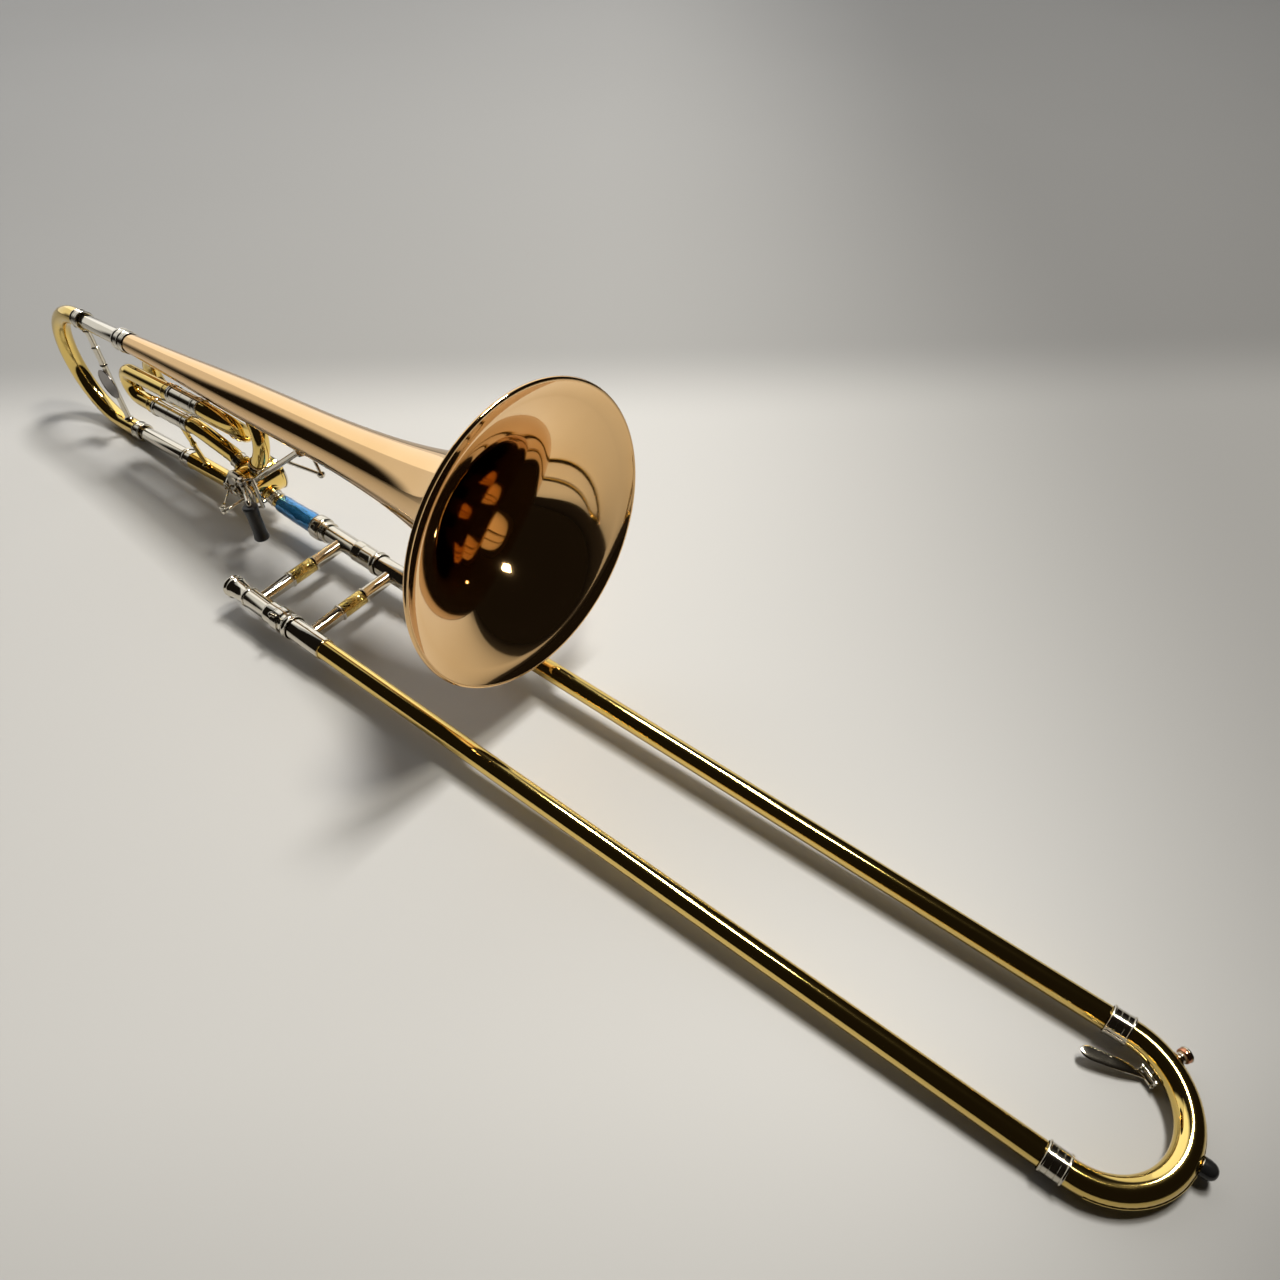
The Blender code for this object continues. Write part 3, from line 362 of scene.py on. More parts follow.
def close_up(piece):
    """Merges doubled corners, fills open ends and points the faces outwards."""
    choose(piece)
    bpy.ops.object.mode_set(mode="EDIT")
    bpy.ops.mesh.select_all(action="SELECT")
    bpy.ops.mesh.remove_doubles(threshold=0.002)
    bpy.ops.mesh.fill_holes(sides=0)
    bpy.ops.mesh.select_all(action="SELECT")
    bpy.ops.mesh.normals_make_consistent(inside=False)
    bpy.ops.object.mode_set(mode="OBJECT")


def soften(piece, width=None):
    """Rounds the sharp edges a little and shades the rest smooth."""
    choose(piece)
    width = bpy.context.scene.trombone_sizes.edge * 1000 if width is None else width
    if width:
        bpy.ops.object.modifier_add(type="BEVEL")
        bevel = piece.modifiers[-1]
        bevel.width = width
        bevel.segments = 2
        bevel.limit_method = "ANGLE"
        bevel.angle_limit = SHARP
        bevel.use_clamp_overlap = True
        bpy.ops.object.modifier_apply(modifier=bevel.name)
    bpy.ops.object.shade_smooth_by_angle(angle=SHARP)


def circle(radius, sides, matrix):
    """A ring of edges at the given place, with its place applied."""
    bpy.ops.object.select_all(action="DESELECT")
    bpy.ops.mesh.primitive_circle_add(vertices=sides, radius=radius)
    ring = bpy.context.object
    settle(ring, matrix)
    return ring


def pointing(way, place=(0, 0, 0)):
    """Matrix that turns +Z to the way and moves to the place."""
    return Matrix.Translation(place) @ Vector(way).to_track_quat("Z", "Y").to_matrix().to_4x4()


def turn_up(name, outline, sides=None, ridges=None):
    """Turned piece about Z: a ring is extruded and resized from station to station of (along, radius)."""
    sides = sides or bpy.context.scene.trombone_sizes.sides
    closed = outline[0][1] > 0 and outline[-1][1] > 0
    stations = [station for station in outline if station[1] > 0]
    if closed:
        stations = stations + [stations[0]]
    piece = circle(stations[0][1], sides, Matrix.Translation((0, 0, stations[0][0])))
    piece.name = name
    bpy.ops.object.mode_set(mode="EDIT")
    bpy.ops.mesh.select_all(action="SELECT")
    for (before, narrow), (along, radius) in zip(stations, stations[1:]):
        bpy.ops.mesh.extrude_region_move(TRANSFORM_OT_translate={"value": (0, 0, along - before)})
        share = radius / narrow
        if abs(share - 1) > 0.000001:
            bpy.ops.transform.resize(value=(share, share, 1), center_override=(0, 0, along))
    bpy.ops.object.mode_set(mode="OBJECT")
    close_up(piece)
    if ridges:
        press_ridges(piece, sides, *ridges)
    return piece


def press_ridges(piece, sides, low, high, least, share):
    """Presses every other row of the grip in, so that it is knurled."""
    for corner in piece.data.vertices:
        row = round(math.atan2(corner.co.y, corner.co.x) / (2 * math.pi) * sides)
        outer = math.hypot(corner.co.x, corner.co.y) > least
        corner.select = outer and low < corner.co.z < high and row % 2 == 0
    bpy.ops.object.mode_set(mode="EDIT")
    bpy.ops.mesh.select_mode(type="VERT")
    bpy.ops.transform.resize(value=(share, share, 1), center_override=(0, 0, (low + high) / 2))
    bpy.ops.object.mode_set(mode="OBJECT")


def turned(name, outline, home, place=(0, 0, 0), way=X_AXIS, sides=None, edge=None, ridges=None):
    """Turned piece at its place in a frame."""
    piece = turn_up(name, outline, sides, ridges)
    soften(piece, edge)
    settle(piece, home @ pointing(way, place))
    return piece


def corner_moves(corners, radii):
    """Straight runs and bends along a path through the corners, with one radius for each inner corner."""
    corners = [Vector(corner) for corner in corners]
    moves = []
    here = corners[0]
    for before, corner, after, radius in zip(corners, corners[1:], corners[2:], radii):
        come = (corner - before).normalized()
        leave = (after - corner).normalized()
        turn = come.angle(leave)
        reach = radius * math.tan(turn / 2)
        start = corner - come * reach
        axis = come.cross(leave).normalized()
        moves.append(("run", start - here))
        moves.append(("bend", start + axis.cross(come) * radius, axis, turn))
        here = corner + leave * reach
    moves.append(("run", corners[-1] - here))
    return moves


def bow_moves(start, end, centre_x):
    """A run along X, a half turn across to the other leg, and a run back to the end."""
    start = Vector(start)
    end = Vector(end)
    way = Vector((math.copysign(1, centre_x - start.x), 0, 0))
    across = Vector((0, end.y - start.y, end.z - start.z))
    knee = Vector((centre_x, start.y, start.z))
    axis = way.cross(across).normalized()
    return [("run", knee - start), ("bend", knee + across / 2, axis, math.pi), ("run", end - knee - across)]


def bent(name, start, moves, radius, home, wall=None, sides=40):
    """Tube drawn from a ring by straight extrusions and spins; a closed rod where no wall is given."""
    piece = circle(radius, sides, pointing(moves[0][1], start))
    piece.name = name
    bpy.ops.object.mode_set(mode="EDIT")
    bpy.ops.mesh.select_all(action="SELECT")
    step = bpy.context.scene.trombone_sizes.arc_step
    for move in moves:
        if move[0] == "run":
            if move[1].length > 0.01:
                bpy.ops.mesh.extrude_region_move(TRANSFORM_OT_translate={"value": tuple(move[1])})
        else:
            _kind, centre, axis, turn = move
            steps = max(4, round(turn / step))
            bpy.ops.mesh.spin(steps=steps, angle=-turn, center=tuple(centre), axis=tuple(axis))
    bpy.ops.mesh.select_all(action="SELECT")
    bpy.ops.mesh.normals_make_consistent(inside=False)
    bpy.ops.object.mode_set(mode="OBJECT")
    if wall is None:
        close_up(piece)
    else:
        bpy.ops.object.modifier_add(type="SOLIDIFY")
        shell = piece.modifiers[-1]
        shell.thickness = wall
        shell.offset = -1
        bpy.ops.object.modifier_apply(modifier=shell.name)
    soften(piece, 0)
    settle(piece, home)
    return piece


def spokes(angle):
    """Ways from the centre and along the arc in the slide's plane, at an angle from X."""
    return Vector((math.cos(angle), math.sin(angle), 0)), Vector((-math.sin(angle), math.cos(angle), 0))


def rod(name, start, end, radius, home):
    """Straight rod with rounded ends."""
    run = Vector(end) - Vector(start)
    long = run.length
    return turned(name, eased(0, long, 0, radius, 0.3, 0.3), home, start, run, 24)


def blade_shape(name, stations, home, place, way):
    """Flat blade: an oval ring drawn through stations of (along, lift, half width, half thickness)."""
    begin, lift, wide, thick = stations[0]
    piece = circle(wide, 24, Matrix.Translation((0, lift, begin)))
    piece.name = name
    bpy.ops.object.mode_set(mode="EDIT")
    bpy.ops.mesh.select_all(action="SELECT")
    bpy.ops.transform.resize(value=(1, thick / wide, 1), center_override=(0, lift, begin))
    for along, up, half, deep in stations[1:]:
        bpy.ops.mesh.extrude_region_move(TRANSFORM_OT_translate={"value": (0, up - lift, along - begin)})
        bpy.ops.transform.resize(value=(half / wide, deep / thick, 1), center_override=(0, up, along))
        begin, lift, wide, thick = along, up, half, deep
    bpy.ops.object.mode_set(mode="OBJECT")
    close_up(piece)
    soften(piece, 0)
    ahead = Vector(way).normalized()
    side = ahead.cross(Z_AXIS).normalized()
    turn = Matrix((side, side.cross(ahead), ahead)).transposed().to_4x4()
    settle(piece, home @ Matrix.Translation(place) @ turn)
    return piece


def ball(name, place, radius, home):
    """Small ball, turned from a half round."""
    angles = [math.pi * i / 12 for i in range(1, 12)]
    arc = [(-radius * math.cos(angle), radius * math.sin(angle)) for angle in angles]
    return turned(name, [(-radius, 0)] + arc + [(radius, 0)], home, place, Z_AXIS, 24, 0)


def sleeve(start, end, inner, outer):
    return [(start, outer), (end, outer), (end, inner), (start, inner)]


def beaded_ferrule(start, end, inner, outer, bead=0.7, width=1.6):
    """Ferrule with a rounded bead at both ends and two engraved lines beside each."""
    arc = [math.pi * i / 6 for i in range(7)]
    first = [(start + width / 2 * (1 - math.cos(angle)), outer + bead * math.sin(angle)) for angle in arc]
    last = [(end - width / 2 * (1 + math.cos(angle)), outer + bead * math.sin(angle)) for angle in arc]
    lines = [
        line for share in (0.35, 0.65) for line in groove(start + (end - start) * share, outer, 0.3, 0.1)
    ]
    return [(start, inner), *first, *lines, *last, (end, inner)]


def both_ways(points, middle=()):
    """Half an outline, what stands in its middle, and the half's mirror image."""
    return [*points, *middle] + [(-along, radius) for along, radius in reversed(points)]


def eased(start, end, inner, outer, run, drop):
    """Outline of a ring or disc whose outer edges are cut off at a slant."""
    low = outer - drop
    return [
        (start, inner), (start, low), (start + run, outer), (end - run, outer), (end, low), (end, inner),
    ]


def groove(middle, radius, half=0.4, floor=0.2, deep=0.2):
    """Groove in an outline; deep is negative for a ridge, and the widths where the outline runs back."""
    low = radius - deep
    return [(middle - half, radius), (middle - floor, low), (middle + floor, low), (middle + half, radius)]


def join(pieces, name):
    """Joins the pieces into one object."""
    bpy.ops.object.select_all(action="DESELECT")
    for piece in pieces:
        piece.select_set(True)
    bpy.context.view_layer.objects.active = pieces[0]
    bpy.ops.object.join()
    pieces[0].name = name
    pieces[0].data.name = name
    return pieces[0]


def cut(piece, tool):
    """Cuts the tool's shape out of the piece."""
    choose(piece)
    bpy.ops.object.modifier_add(type="BOOLEAN")
    step = piece.modifiers[-1]
    step.operation = "DIFFERENCE"
    step.solver = "EXACT"
    step.object = tool
    bpy.ops.object.modifier_apply(modifier=step.name)
    choose(tool)
    bpy.ops.object.delete()


def dress(piece, body, finish, *nodes):
    """Gives the piece its finish, lets it ride on its body and stand for its solids."""
    piece.data.materials.clear()
    piece.data.materials.append(finish_named(finish))
    if nodes:
        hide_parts(*nodes)
    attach(piece, body)
    return piece


def fit(node, body, finish, *shape, **options):
    """Turned piece that stands for a solid of the same name."""
    return dress(turned(node + "_look", *shape, **options), body, finish, node)


def draw(node, body, finish, *shape, **options):
    """Drawn tube that stands for a solid of the same name."""
    return dress(bent(node + "_look", *shape, **options), body, finish, node)


def fuse(node, body, finish, pieces):
    """Pieces joined into one that stands for a solid of the same name."""
    return dress(join(pieces, node + "_look"), body, finish, node)


def trim(name, body, finish, *shape, **options):
    """Turned piece that only the scene has."""
    return dress(turned(name, *shape, **options), body, finish)


def refinish(node, finish):
    """Gives a solid that stays as it is its finish."""
    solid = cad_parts[node]
    solid.data.materials.clear()
    solid.data.materials.append(finish_named(finish))


class TROMBONE_OT_slide_tubes(bpy.types.Operator):
    """Outer and inner tubes of the hand slide, with their sleeves, stockings and corks"""

    bl_idname = "trombone.slide_tubes"
    bl_label = "Slide tubes"

    def execute(self, context):
        outer, bore, wide = OUTER_R, OUTER_BORE, 8.6
        for side, letter in ((-HALF, "a"), (HALF, "b")):
            tube = [
                (-CLEAR, outer), (-580.7, outer), (-580.8, wide - 0.2), (-581.1, wide),
                *groove(-585.2, wide, *RUNS_BACK), *groove(-611.8, wide, *RUNS_BACK), (-616, wide),
                (-616.3, wide - 0.3), (-616.4, outer), (-633.5, outer), (-633.5, bore), (-CLEAR, bore),
            ]
            fit("outer_tube_" + letter, "hand_slide", "yellow_brass", tube, SLIDE, (0, side, 0))
            ring = [(-616.5, wide - 0.4), (-616.2, wide + 0.1), (-581.4, wide + 0.1), (-580.6, wide - 0.4)]
            trim("oversleeve_" + letter, "hand_slide", "nickel_silver", ring, SLIDE, (0, side, 0), edge=0)
            stocking = bore - 0.25
            inner = [
                (-6, stocking - 0.1), (-6.3, stocking), (-121, stocking), (-125, 6.8), (-672, 6.8),
                (-672, 6.5), (-6, 6.5),
            ]
            fit("inner_tube_" + letter, "inner_slide", "nickel_silver", inner, SLIDE, (0, side, 0))
            cork = sleeve(-643.1, -633.8, bore, outer)
            fit("slide_cork_" + letter, "inner_slide", "cork", cork, SLIDE, (0, side, 0))
        refinish("leadpipe", "yellow_brass")
        return {"FINISHED"}


class TROMBONE_OT_slide_fittings(bpy.types.Operator):
    """Mouthpiece receiver, cork barrels, tenon, lock nut and lock ring"""

    bl_idname = "trombone.slide_fittings"
    bl_label = "Slide fittings"

    def execute(self, context):
        end = -672.3
        cup = [
            (end, 6.1), (end, 8.4), (end - 0.4, 8.7), (end - 1.2, 8.8), (end - 2.2, 8.7),
            (end - 2.8, 8.2), (end - 3.4, 7.9), (end - 8.5, 7.9), (end - 12, 8),
            (-689, 8.4), (-690.2, 8.7), (-690.6, 9.2), (-691.2, 9.5), (-692, 9.6),
            (-692.8, 9.5), (-693.4, 9.2), (-693.8, 8.8), (-694.4, 8.8), (-695, 9.2),
            (-695.6, 9.6), (-696.2, 9.5), (-696.7, 9.3), (-697, 9), (-697, 6.8),
            (-696.8, 6.6),
        ]
        fit("mouthpiece_receiver", "inner_slide", "nickel_silver", cup, SLIDE, (0, -HALF, 0))
        for side, letter, start in ((-HALF, "a", -672), (HALF, "b", -682.2)):
            front = -617.2
            barrel = [
                (start, 7.1), (start, 8), (start + 0.2, 8.2), (-648, 8.2), (-647.5, 8.4), (-647.1, 8.8),
                (-646.3, 9.1), (-645.5, 9.1), (-644.9, 9), *groove(-637.6, 9), (front - 8.5, 9),
                (front - 7, 9.3), (front - 5.4, 9.7), (front - 5, 10.1), (front - 4.4, 10.3),
                (front - 3.6, 10.2), (front - 3.1, 9.8), (front - 1.4, 9.8), (front - 1, 10.1),
                (front - 0.3, 10.1), (front, 9.9), (front, 9.5), (front - 0.6, 9.4), (front - 6, 9.2),
                (front - 8, 8.6), (front - 10, 8), (-643.4, 8), (-643.4, 7.1),
            ]
            fit("cork_barrel_" + letter, "inner_slide", "nickel_silver", barrel, SLIDE, (0, side, 0))
        tenon = [
            (-682.5, 9.4), *groove(-685, 9.4, *RUNS_BACK), (-688.3, 9.4), (-688.3, 7.7), (-700, 7.7),
            (-701.2, 7.1), (TENON_END, 6.4), (TENON_END, 5.9), (-682.5, 6.2),
        ]
        fit("slide_tenon", "inner_slide", "nickel_silver", tenon, SLIDE, (0, HALF, 0))
        nut = both_ways([
            (-5.7, 8), (-5.7, 9.8), (-5.1, 10.7), (-4.4, 11), (-3.7, 10.7), (-3.3, 10.9), (-2, 11.15),
        ])
        knurl = (-3.5, 3.5, 10.5, 0.968)
        fit(
            "bell_lock_nut", "bell_lock_nut", "nickel_silver", nut, SLIDE, (-694.3, HALF, 0), X_AXIS, 96, 0,
            knurl,
        )
        lock_place = (-632.4, -HALF, 0)
        lock = both_ways([(-4, 9.3), (-4, 10.1), (-3.7, 10.4), (-3.1, 10.4), (-2.8, 10.1), (-2.6, 10.4)])
        knurl = (-2.7, 2.7, 10.2, 0.975)
        ring = turned("lock_ring", lock, SLIDE, lock_place, X_AXIS, 96, 0, knurl)
        way = Vector((0, -0.5, 0.87)).normalized()
        lug = [
            (9.5, 0), (9.5, 1.9), (12, 1.5), (13.2, 1.5), (14.2, 1.9), (15, 2.1), (15.6, 1.7), (15.8, 1),
            (15.8, 0),
        ]
        lug = turned("lock_lug", lug, SLIDE, lock_place, way, 24)
        fuse("slide_lock_ring", "slide_lock", "turned_nickel", [ring, lug])
        return {"FINISHED"}


class TROMBONE_OT_slide_braces(bpy.types.Operator):
    """The fixed brace and the hand brace, each with a brass sleeve between two collars"""

    bl_idname = "trombone.slide_braces"
    bl_label = "Slide braces"

    def execute(self, context):
        for name, x, body, tube in (
            ("inner_brace", -664.5, "inner_slide", 8.2), ("hand_brace", -602, "hand_slide", 8.7),
        ):
            outline = both_ways([
                (HALF, 0), (HALF, 6.2), (HALF - tube + 3, 6.2), (HALF - tube + 1.8, 5.8), (13, 5.8),
                (12.8, 6.6), (12.4, 7), (11.4, 7), (10.9, 6.7), (10.7, 6),
            ])
            piece = turned(name + "_look", outline, SLIDE, (x, 0, 0), Y_AXIS, edge=0)
            round_tube = [(-20, 0), (-20, tube), (20, tube), (20, 0)]
            for side in (-HALF, HALF):
                cut(piece, turned("saddle_cut", round_tube, SLIDE, (x, side, 0)))
            choose(piece)
            bpy.ops.object.shade_smooth_by_angle(angle=SHARP)
            dress(piece, body, "nickel_silver", name)
            grip = sleeve(-10.7, 10.7, 5.9, 6.3)
            trim(name + "_sleeve", body, "engraved_brass", grip, SLIDE, (x, 0, 0), Y_AXIS)
        return {"FINISHED"}


class TROMBONE_OT_crook(bpy.types.Operator):
    """Crook of the hand slide, its ferrules, the bumper and the bumper's socket"""

    bl_idname = "trombone.crook"
    bl_label = "Slide crook"

    def execute(self, context):
        start = Vector((CLEAR, -HALF, 0))
        moves = bow_moves(start, (CLEAR, HALF, 0), CROOK_X)
        draw("slide_crook", "hand_slide", "yellow_brass", start, moves, CROOK_R, SLIDE, 0.6, 48)
        middle = Vector((CROOK_X, 0, 0))
        first, last = math.radians(-78), math.radians(47)
        out, ahead = spokes(first)
        begin = middle + out * (HALF + OUTER_R)
        moves = [("run", ahead * 0.4), ("bend", middle, Z_AXIS, last - first)]
        guard = bent("crook_guard", begin, moves, 1, SLIDE, None, 16)
        dress(guard, "hand_slide", "yellow_brass")
        for side, letter in ((-HALF, "a"), (HALF, "b")):
            ring = beaded_ferrule(-4.5, 8.5, 8.1, 8.6)
            place = (0, side, 0)
            fit("crook_ferrule_" + letter, "hand_slide", "nickel_silver", ring, SLIDE, place, edge=0)
        tip = CROOK_X + HALF + CROOK_R + CLEAR
        socket = [(-0.6, 0), (-0.6, 4.2), (0.0, 4.5), (0.5, 4.5), (1.2, 4.2), (1.8, 4.2), (1.8, 0)]
        fit("bumper_socket", "hand_slide", "nickel_silver", socket, SLIDE, (tip, 0, 0), sides=40)
        dome = [(0, 0), (0, 4.6), (-2.1, 4.8), (-2.4, 5), (-2.2, 5.3), (0.4, 5.3)]
        for i in range(1, 10):
            angle = math.pi / 2 * i / 10
            dome.append((0.8 + 5.4 * math.sin(angle), 5.2 * math.cos(angle) ** 0.8))
        dome.append((6.2, 0))
        place = (tip + 1.8 + CLEAR, 0, 0)
        fit("bumper", "hand_slide", "black_rubber", dome, SLIDE, place, X_AXIS, 40, 0)
        return {"FINISHED"}


class TROMBONE_OT_water_key(bpy.types.Operator):
    """Water key: nipple, saddle with its pin, lever with its touch, and cork"""

    bl_idname = "trombone.water_key"
    bl_label = "Water key"

    def execute(self, context):
        out, along = spokes(math.radians(61))
        outer_r = HALF + CROOK_R
        centre = Vector((CROOK_X, 0, 0))
        nipple = [(-1, 1.6), (-1, 4.4), (0.0, 4.2), (0.4, 3.4), (1.8, 3), (NIPPLE, 3.2), (NIPPLE, 1.6)]
        mouth = centre + out * (outer_r + CLEAR)
        fit("water_key_nipple", "hand_slide", "nickel_silver", nipple, SLIDE, mouth, out, 32)
        hinge_r = HALF - CROOK_R - 2
        rise = Z_AXIS * 8.5
        place = centre + out * hinge_r - rise
        cork_at = outer_r + NIPPLE + 2 * CLEAR - hinge_r
        cork = [(0, 0), (0, 3.3), (0.8, 3.5), (1.6, 3.4), (1.6, 0)]
        fit("water_key_cork", "water_key", "cork", cork, SLIDE, place + rise + out * cork_at, out, 32)
        cap_at = cork_at + 1.6 + CLEAR
        cup_place = place + rise + out * cap_at
        cup = [
            (-1.2, 3.6), (-1.2, 4.2), (0, 4.4), (1.8, 4.4), (2.4, 4), (2.6, 3), (2.6, 0.2), (0, 0.2),
            (0, 3.6),
        ]
        trim("key_cup", "water_key", "copper", cup, SLIDE, cup_place, out, 32)
        lid = [(1.2, 0), (1.2, 4.5), (1.6, 4.7), (2.4, 4.5), (3, 3.4), (3.2, 2), (3.2, 0)]
        trim("key_cup_end", "water_key", "nickel_silver", lid, SLIDE, cup_place, out, 32)
        tip = out * (cap_at + 1.4) + rise
        under = rise - Z_AXIS * (CROOK_R + 1.8)
        path = [place + tip, place + out * (cap_at + 1.4) + under, place + out * 3 + under, place]
        arm = bent("key_arm", path[0], corner_moves(path, (3, 2)), 1, SLIDE, None, 20)
        stations = [
            (0, 0, 1.6, 1.3), (4, 0.7, 1.9, 1), (9, 1.3, 2.6, 0.8), (14, 1.4, 3.3, 0.7),
            (21, 0.9, 3.8, 0.6), (28, 0.3, 4.1, 0.6), (32, 0, 4, 0.6), (34.5, -0.2, 3.3, 0.6),
            (36, -0.3, 2.1, 0.5), (36.6, -0.3, 0.8, 0.4),
        ]
        blade = blade_shape("key_blade", stations, SLIDE, place, (-31, -8.5, 4.5))
        barrel = turned("key_barrel", eased(-4, 4, 0, 2.1, 0.3, 0.2), SLIDE, place, along, 28)
        fuse("water_key_lever", "water_key", "nickel_silver", [arm, blade, barrel])
        ears = []
        head = [(5.5, 0), (5.5, 1.2), (6, 1.2), (6.2, 0.9), (6.2, 0)]
        for way in (-along, along):
            near = place + way * 5
            ears += [
                turned("key_ear", eased(4.4, 5.6, 0, 2.4, 0.2, 0.2), SLIDE, place, way, 28),
                rod("key_ear_foot", near, near + Z_AXIS * 6.2, 1.2, SLIDE),
                turned("key_pin_head", head, SLIDE, place, way, 20),
            ]
        foot = place + Z_AXIS * 4.7
        ears.append(rod("key_ear_plate", foot - along * 5.8, foot + along * 5.8, 1.1, SLIDE))
        fuse("water_key_saddle", "hand_slide", "nickel_silver", ears)
        return {"FINISHED"}


BELL_STATIONS = (
    (-500, 8.5), (-410, 12.2), (-330, 16), (-250, 18.2), (-200, 20), (-160, 22.6),
    (-125, 26.2), (-95, 31), (-65, 38.5), (-40, 50), (-20, 68), (-7, 90),
    (0, 106.6),
)


def bell_radii(count):
    """Outer outline of the bell, by a cubic spline through its stations, finer towards the rim."""
    stations = np.array(BELL_STATIONS)
    spans = np.hypot(*np.diff(stations, axis=0).T)
    places = np.concatenate(([0.0], np.cumsum(spans)))
    last = len(stations) - 1
    system = np.eye(last + 1)
    wanted = np.zeros_like(stations)
    for i in range(1, last):
        system[i, i - 1 : i + 2] = spans[i - 1], 2 * (spans[i - 1] + spans[i]), spans[i]
        slopes = np.diff(stations[i - 1 : i + 2], axis=0).T / spans[i - 1 : i + 1]
        wanted[i] = 6 * (slopes[:, 1] - slopes[:, 0])
    bends = np.linalg.solve(system, wanted)
    points = []
    for share in np.linspace(0, 1, count):
        place = places[-1] * (1 - (1 - share) ** 1.6)
        i = min(max(int(np.searchsorted(places, place)) - 1, 0), last - 1)
        b = (place - places[i]) / spans[i]
        a = 1 - b
        point = a * stations[i] + b * stations[i + 1]
        point += ((a**3 - a) * bends[i] + (b**3 - b) * bends[i + 1]) * spans[i] ** 2 / 6
        points.append((float(point[0]), float(point[1])))
    for _ in range(6):
        runs = zip(points, points[1:], points[2:])
        inner = [((a[0] + 2 * b[0] + c[0]) / 4, (a[1] + 2 * b[1] + c[1]) / 4) for a, b, c in runs]
        points = [points[0]] + inner + [points[-1]]
    return points


class TROMBONE_OT_bell(bpy.types.Operator):
    """Bell with its rolled rim, and the ferrule at the end of its stem"""

    bl_idname = "trombone.bell"
    bl_label = "Bell"

    def execute(self, context):
        rolled, wall = 1.7, 0.6
        outer = bell_radii(110)
        rim_x, rim_r = outer[-1]
        outer = [point for point in outer if point[0] < rim_x - 2.4 * rolled]
        bead = []
        for i in range(19):
            angle = math.radians(150 - 300 * i / 18)
            bead.append((rim_x + rolled * (math.sin(angle) - 1), rim_r + rolled * math.cos(angle)))
        inner = []
        for (x, radius), nearby in zip(outer, outer[1:] + [(rim_x - rolled, rim_r)]):
            slope = math.atan2(nearby[1] - radius, nearby[0] - x)
            inner.append((x + wall * math.sin(slope), radius - wall * math.cos(slope)))
        inner[0] = (outer[0][0], inner[0][1])
        outline = bead + list(reversed(outer)) + inner
        sides = context.scene.trombone_sizes.bell_sides
        fit("bell", "bell_section", "gold_brass", outline, BELL, sides=sides, edge=0)
        collar = [(8, 9.7)]
        for along in (6.8, 5.8, 4):
            collar += [(along + 0.2, 9.7), (along, 9.5), (along - 0.2, 9.7)]
        collar += [
            (1.8, 9.7), (1.4, 10.2), (0.8, 10.35), (0.0, 10.2), (-0.4, 9.8), (-6, 9.8),
            (-6.4, 10.2), (-7.2, 10.35), (-8, 10.35), (-8.6, 10.2), (-9, 9.8), (-9, 7.5),
            (-CLEAR, 7.5), (-CLEAR, 8.8), (8, 9.2),
        ]
        fit("stem_ferrule", "bell_section", "nickel_silver", collar, BELL, (-500, 0, 0), edge=0)
        return {"FINISHED"}


def slide_line(x):
    """Point of the slide's axis at its own x, in the bell's frame."""
    back = x + BELL_BACK
    fall, level = math.sin(BELL_TILT), math.cos(BELL_TILT)
    return Vector((back * level - BELL_HEIGHT * fall, 0, -back * fall - BELL_HEIGHT * level))


VALVE = Vector((-352, 0, -91))
CASING_R = 17.5
ARM_FACE = 20.7
ARM_REACH = 6.9
ARM_TURN = math.radians(135)


def spoke(angle):
    """Way across the bell section's plane at an angle from X."""
    return Vector((math.cos(angle), 0, math.sin(angle)))


def port(index, reach=0.0):
    """End and outward way of one of the valve's four ports."""
    way = spoke(math.radians(-30) + index * math.pi / 2)
    return VALVE + way * (CASING_R + 3 + reach), way


class TROMBONE_OT_neckpipe(bpy.types.Operator):
    """Neckpipe, the receiver of the slide's tenon and the blue film round it"""

    bl_idname = "trombone.neckpipe"
    bl_label = "Neckpipe"

    def execute(self, context):
        start, way = port(0, CLEAR)
        fall = -math.tan(BELL_TILT)
        level = slide_line(TENON_END)
        run = (level.z + (start.x - level.x) * fall - start.z) / (way.z - way.x * fall)
        moves = corner_moves([start, start + way * run, slide_line(TENON_END - 0.6)], (12,))
        draw("neckpipe", "bell_section", "yellow_brass", start, moves, NECK_R, BELL, TUBE_WALL)
        back, front = -747, -700.6
        taper = [
            (back, 7.1), (back, 7.7), (back + 0.6, 8.1), (back + 1.4, 8.1), (back + 2, 7.7),
            (front - 1.2, 8.5), (front, 8.5), (front, 7.6), (-734, 6.9), (-735.3, 7.1),
        ]
        fit("tenon_receiver", "bell_section", "nickel_silver", taper, SWIVEL, edge=0)
        film = [(front, 9)]
        for i in range(1, 22):
            share = i / 22
            film.append((front + (back - front) * share, 9.05 - 0.9 * share + 0.12 * math.sin(i * 2.3)))
        film += [(back, 8.1), (back, 8), (front, 8.8)]
        piece = turned("film_sleeve_look", film, SWIVEL, edge=0)
        for corner in piece.data.vertices:
            spot = SWIVEL.inverted() @ corner.co
            angle = math.atan2(spot.z, spot.y)
            if math.hypot(spot.y, spot.z) > 8.05 + 0.9 * (spot.x - back) / (front - back):
                crease = 0.16 * math.sin(3 * angle + spot.x * 0.16)
                crease += 0.1 * math.sin(7 * angle - spot.x * 0.42)
                corner.co += (SWIVEL.to_3x3() @ Vector((0, spot.y, spot.z)).normalized()) * crease
        dress(piece, "bell_section", "blue_film", "film_sleeve")
        return {"FINISHED"}


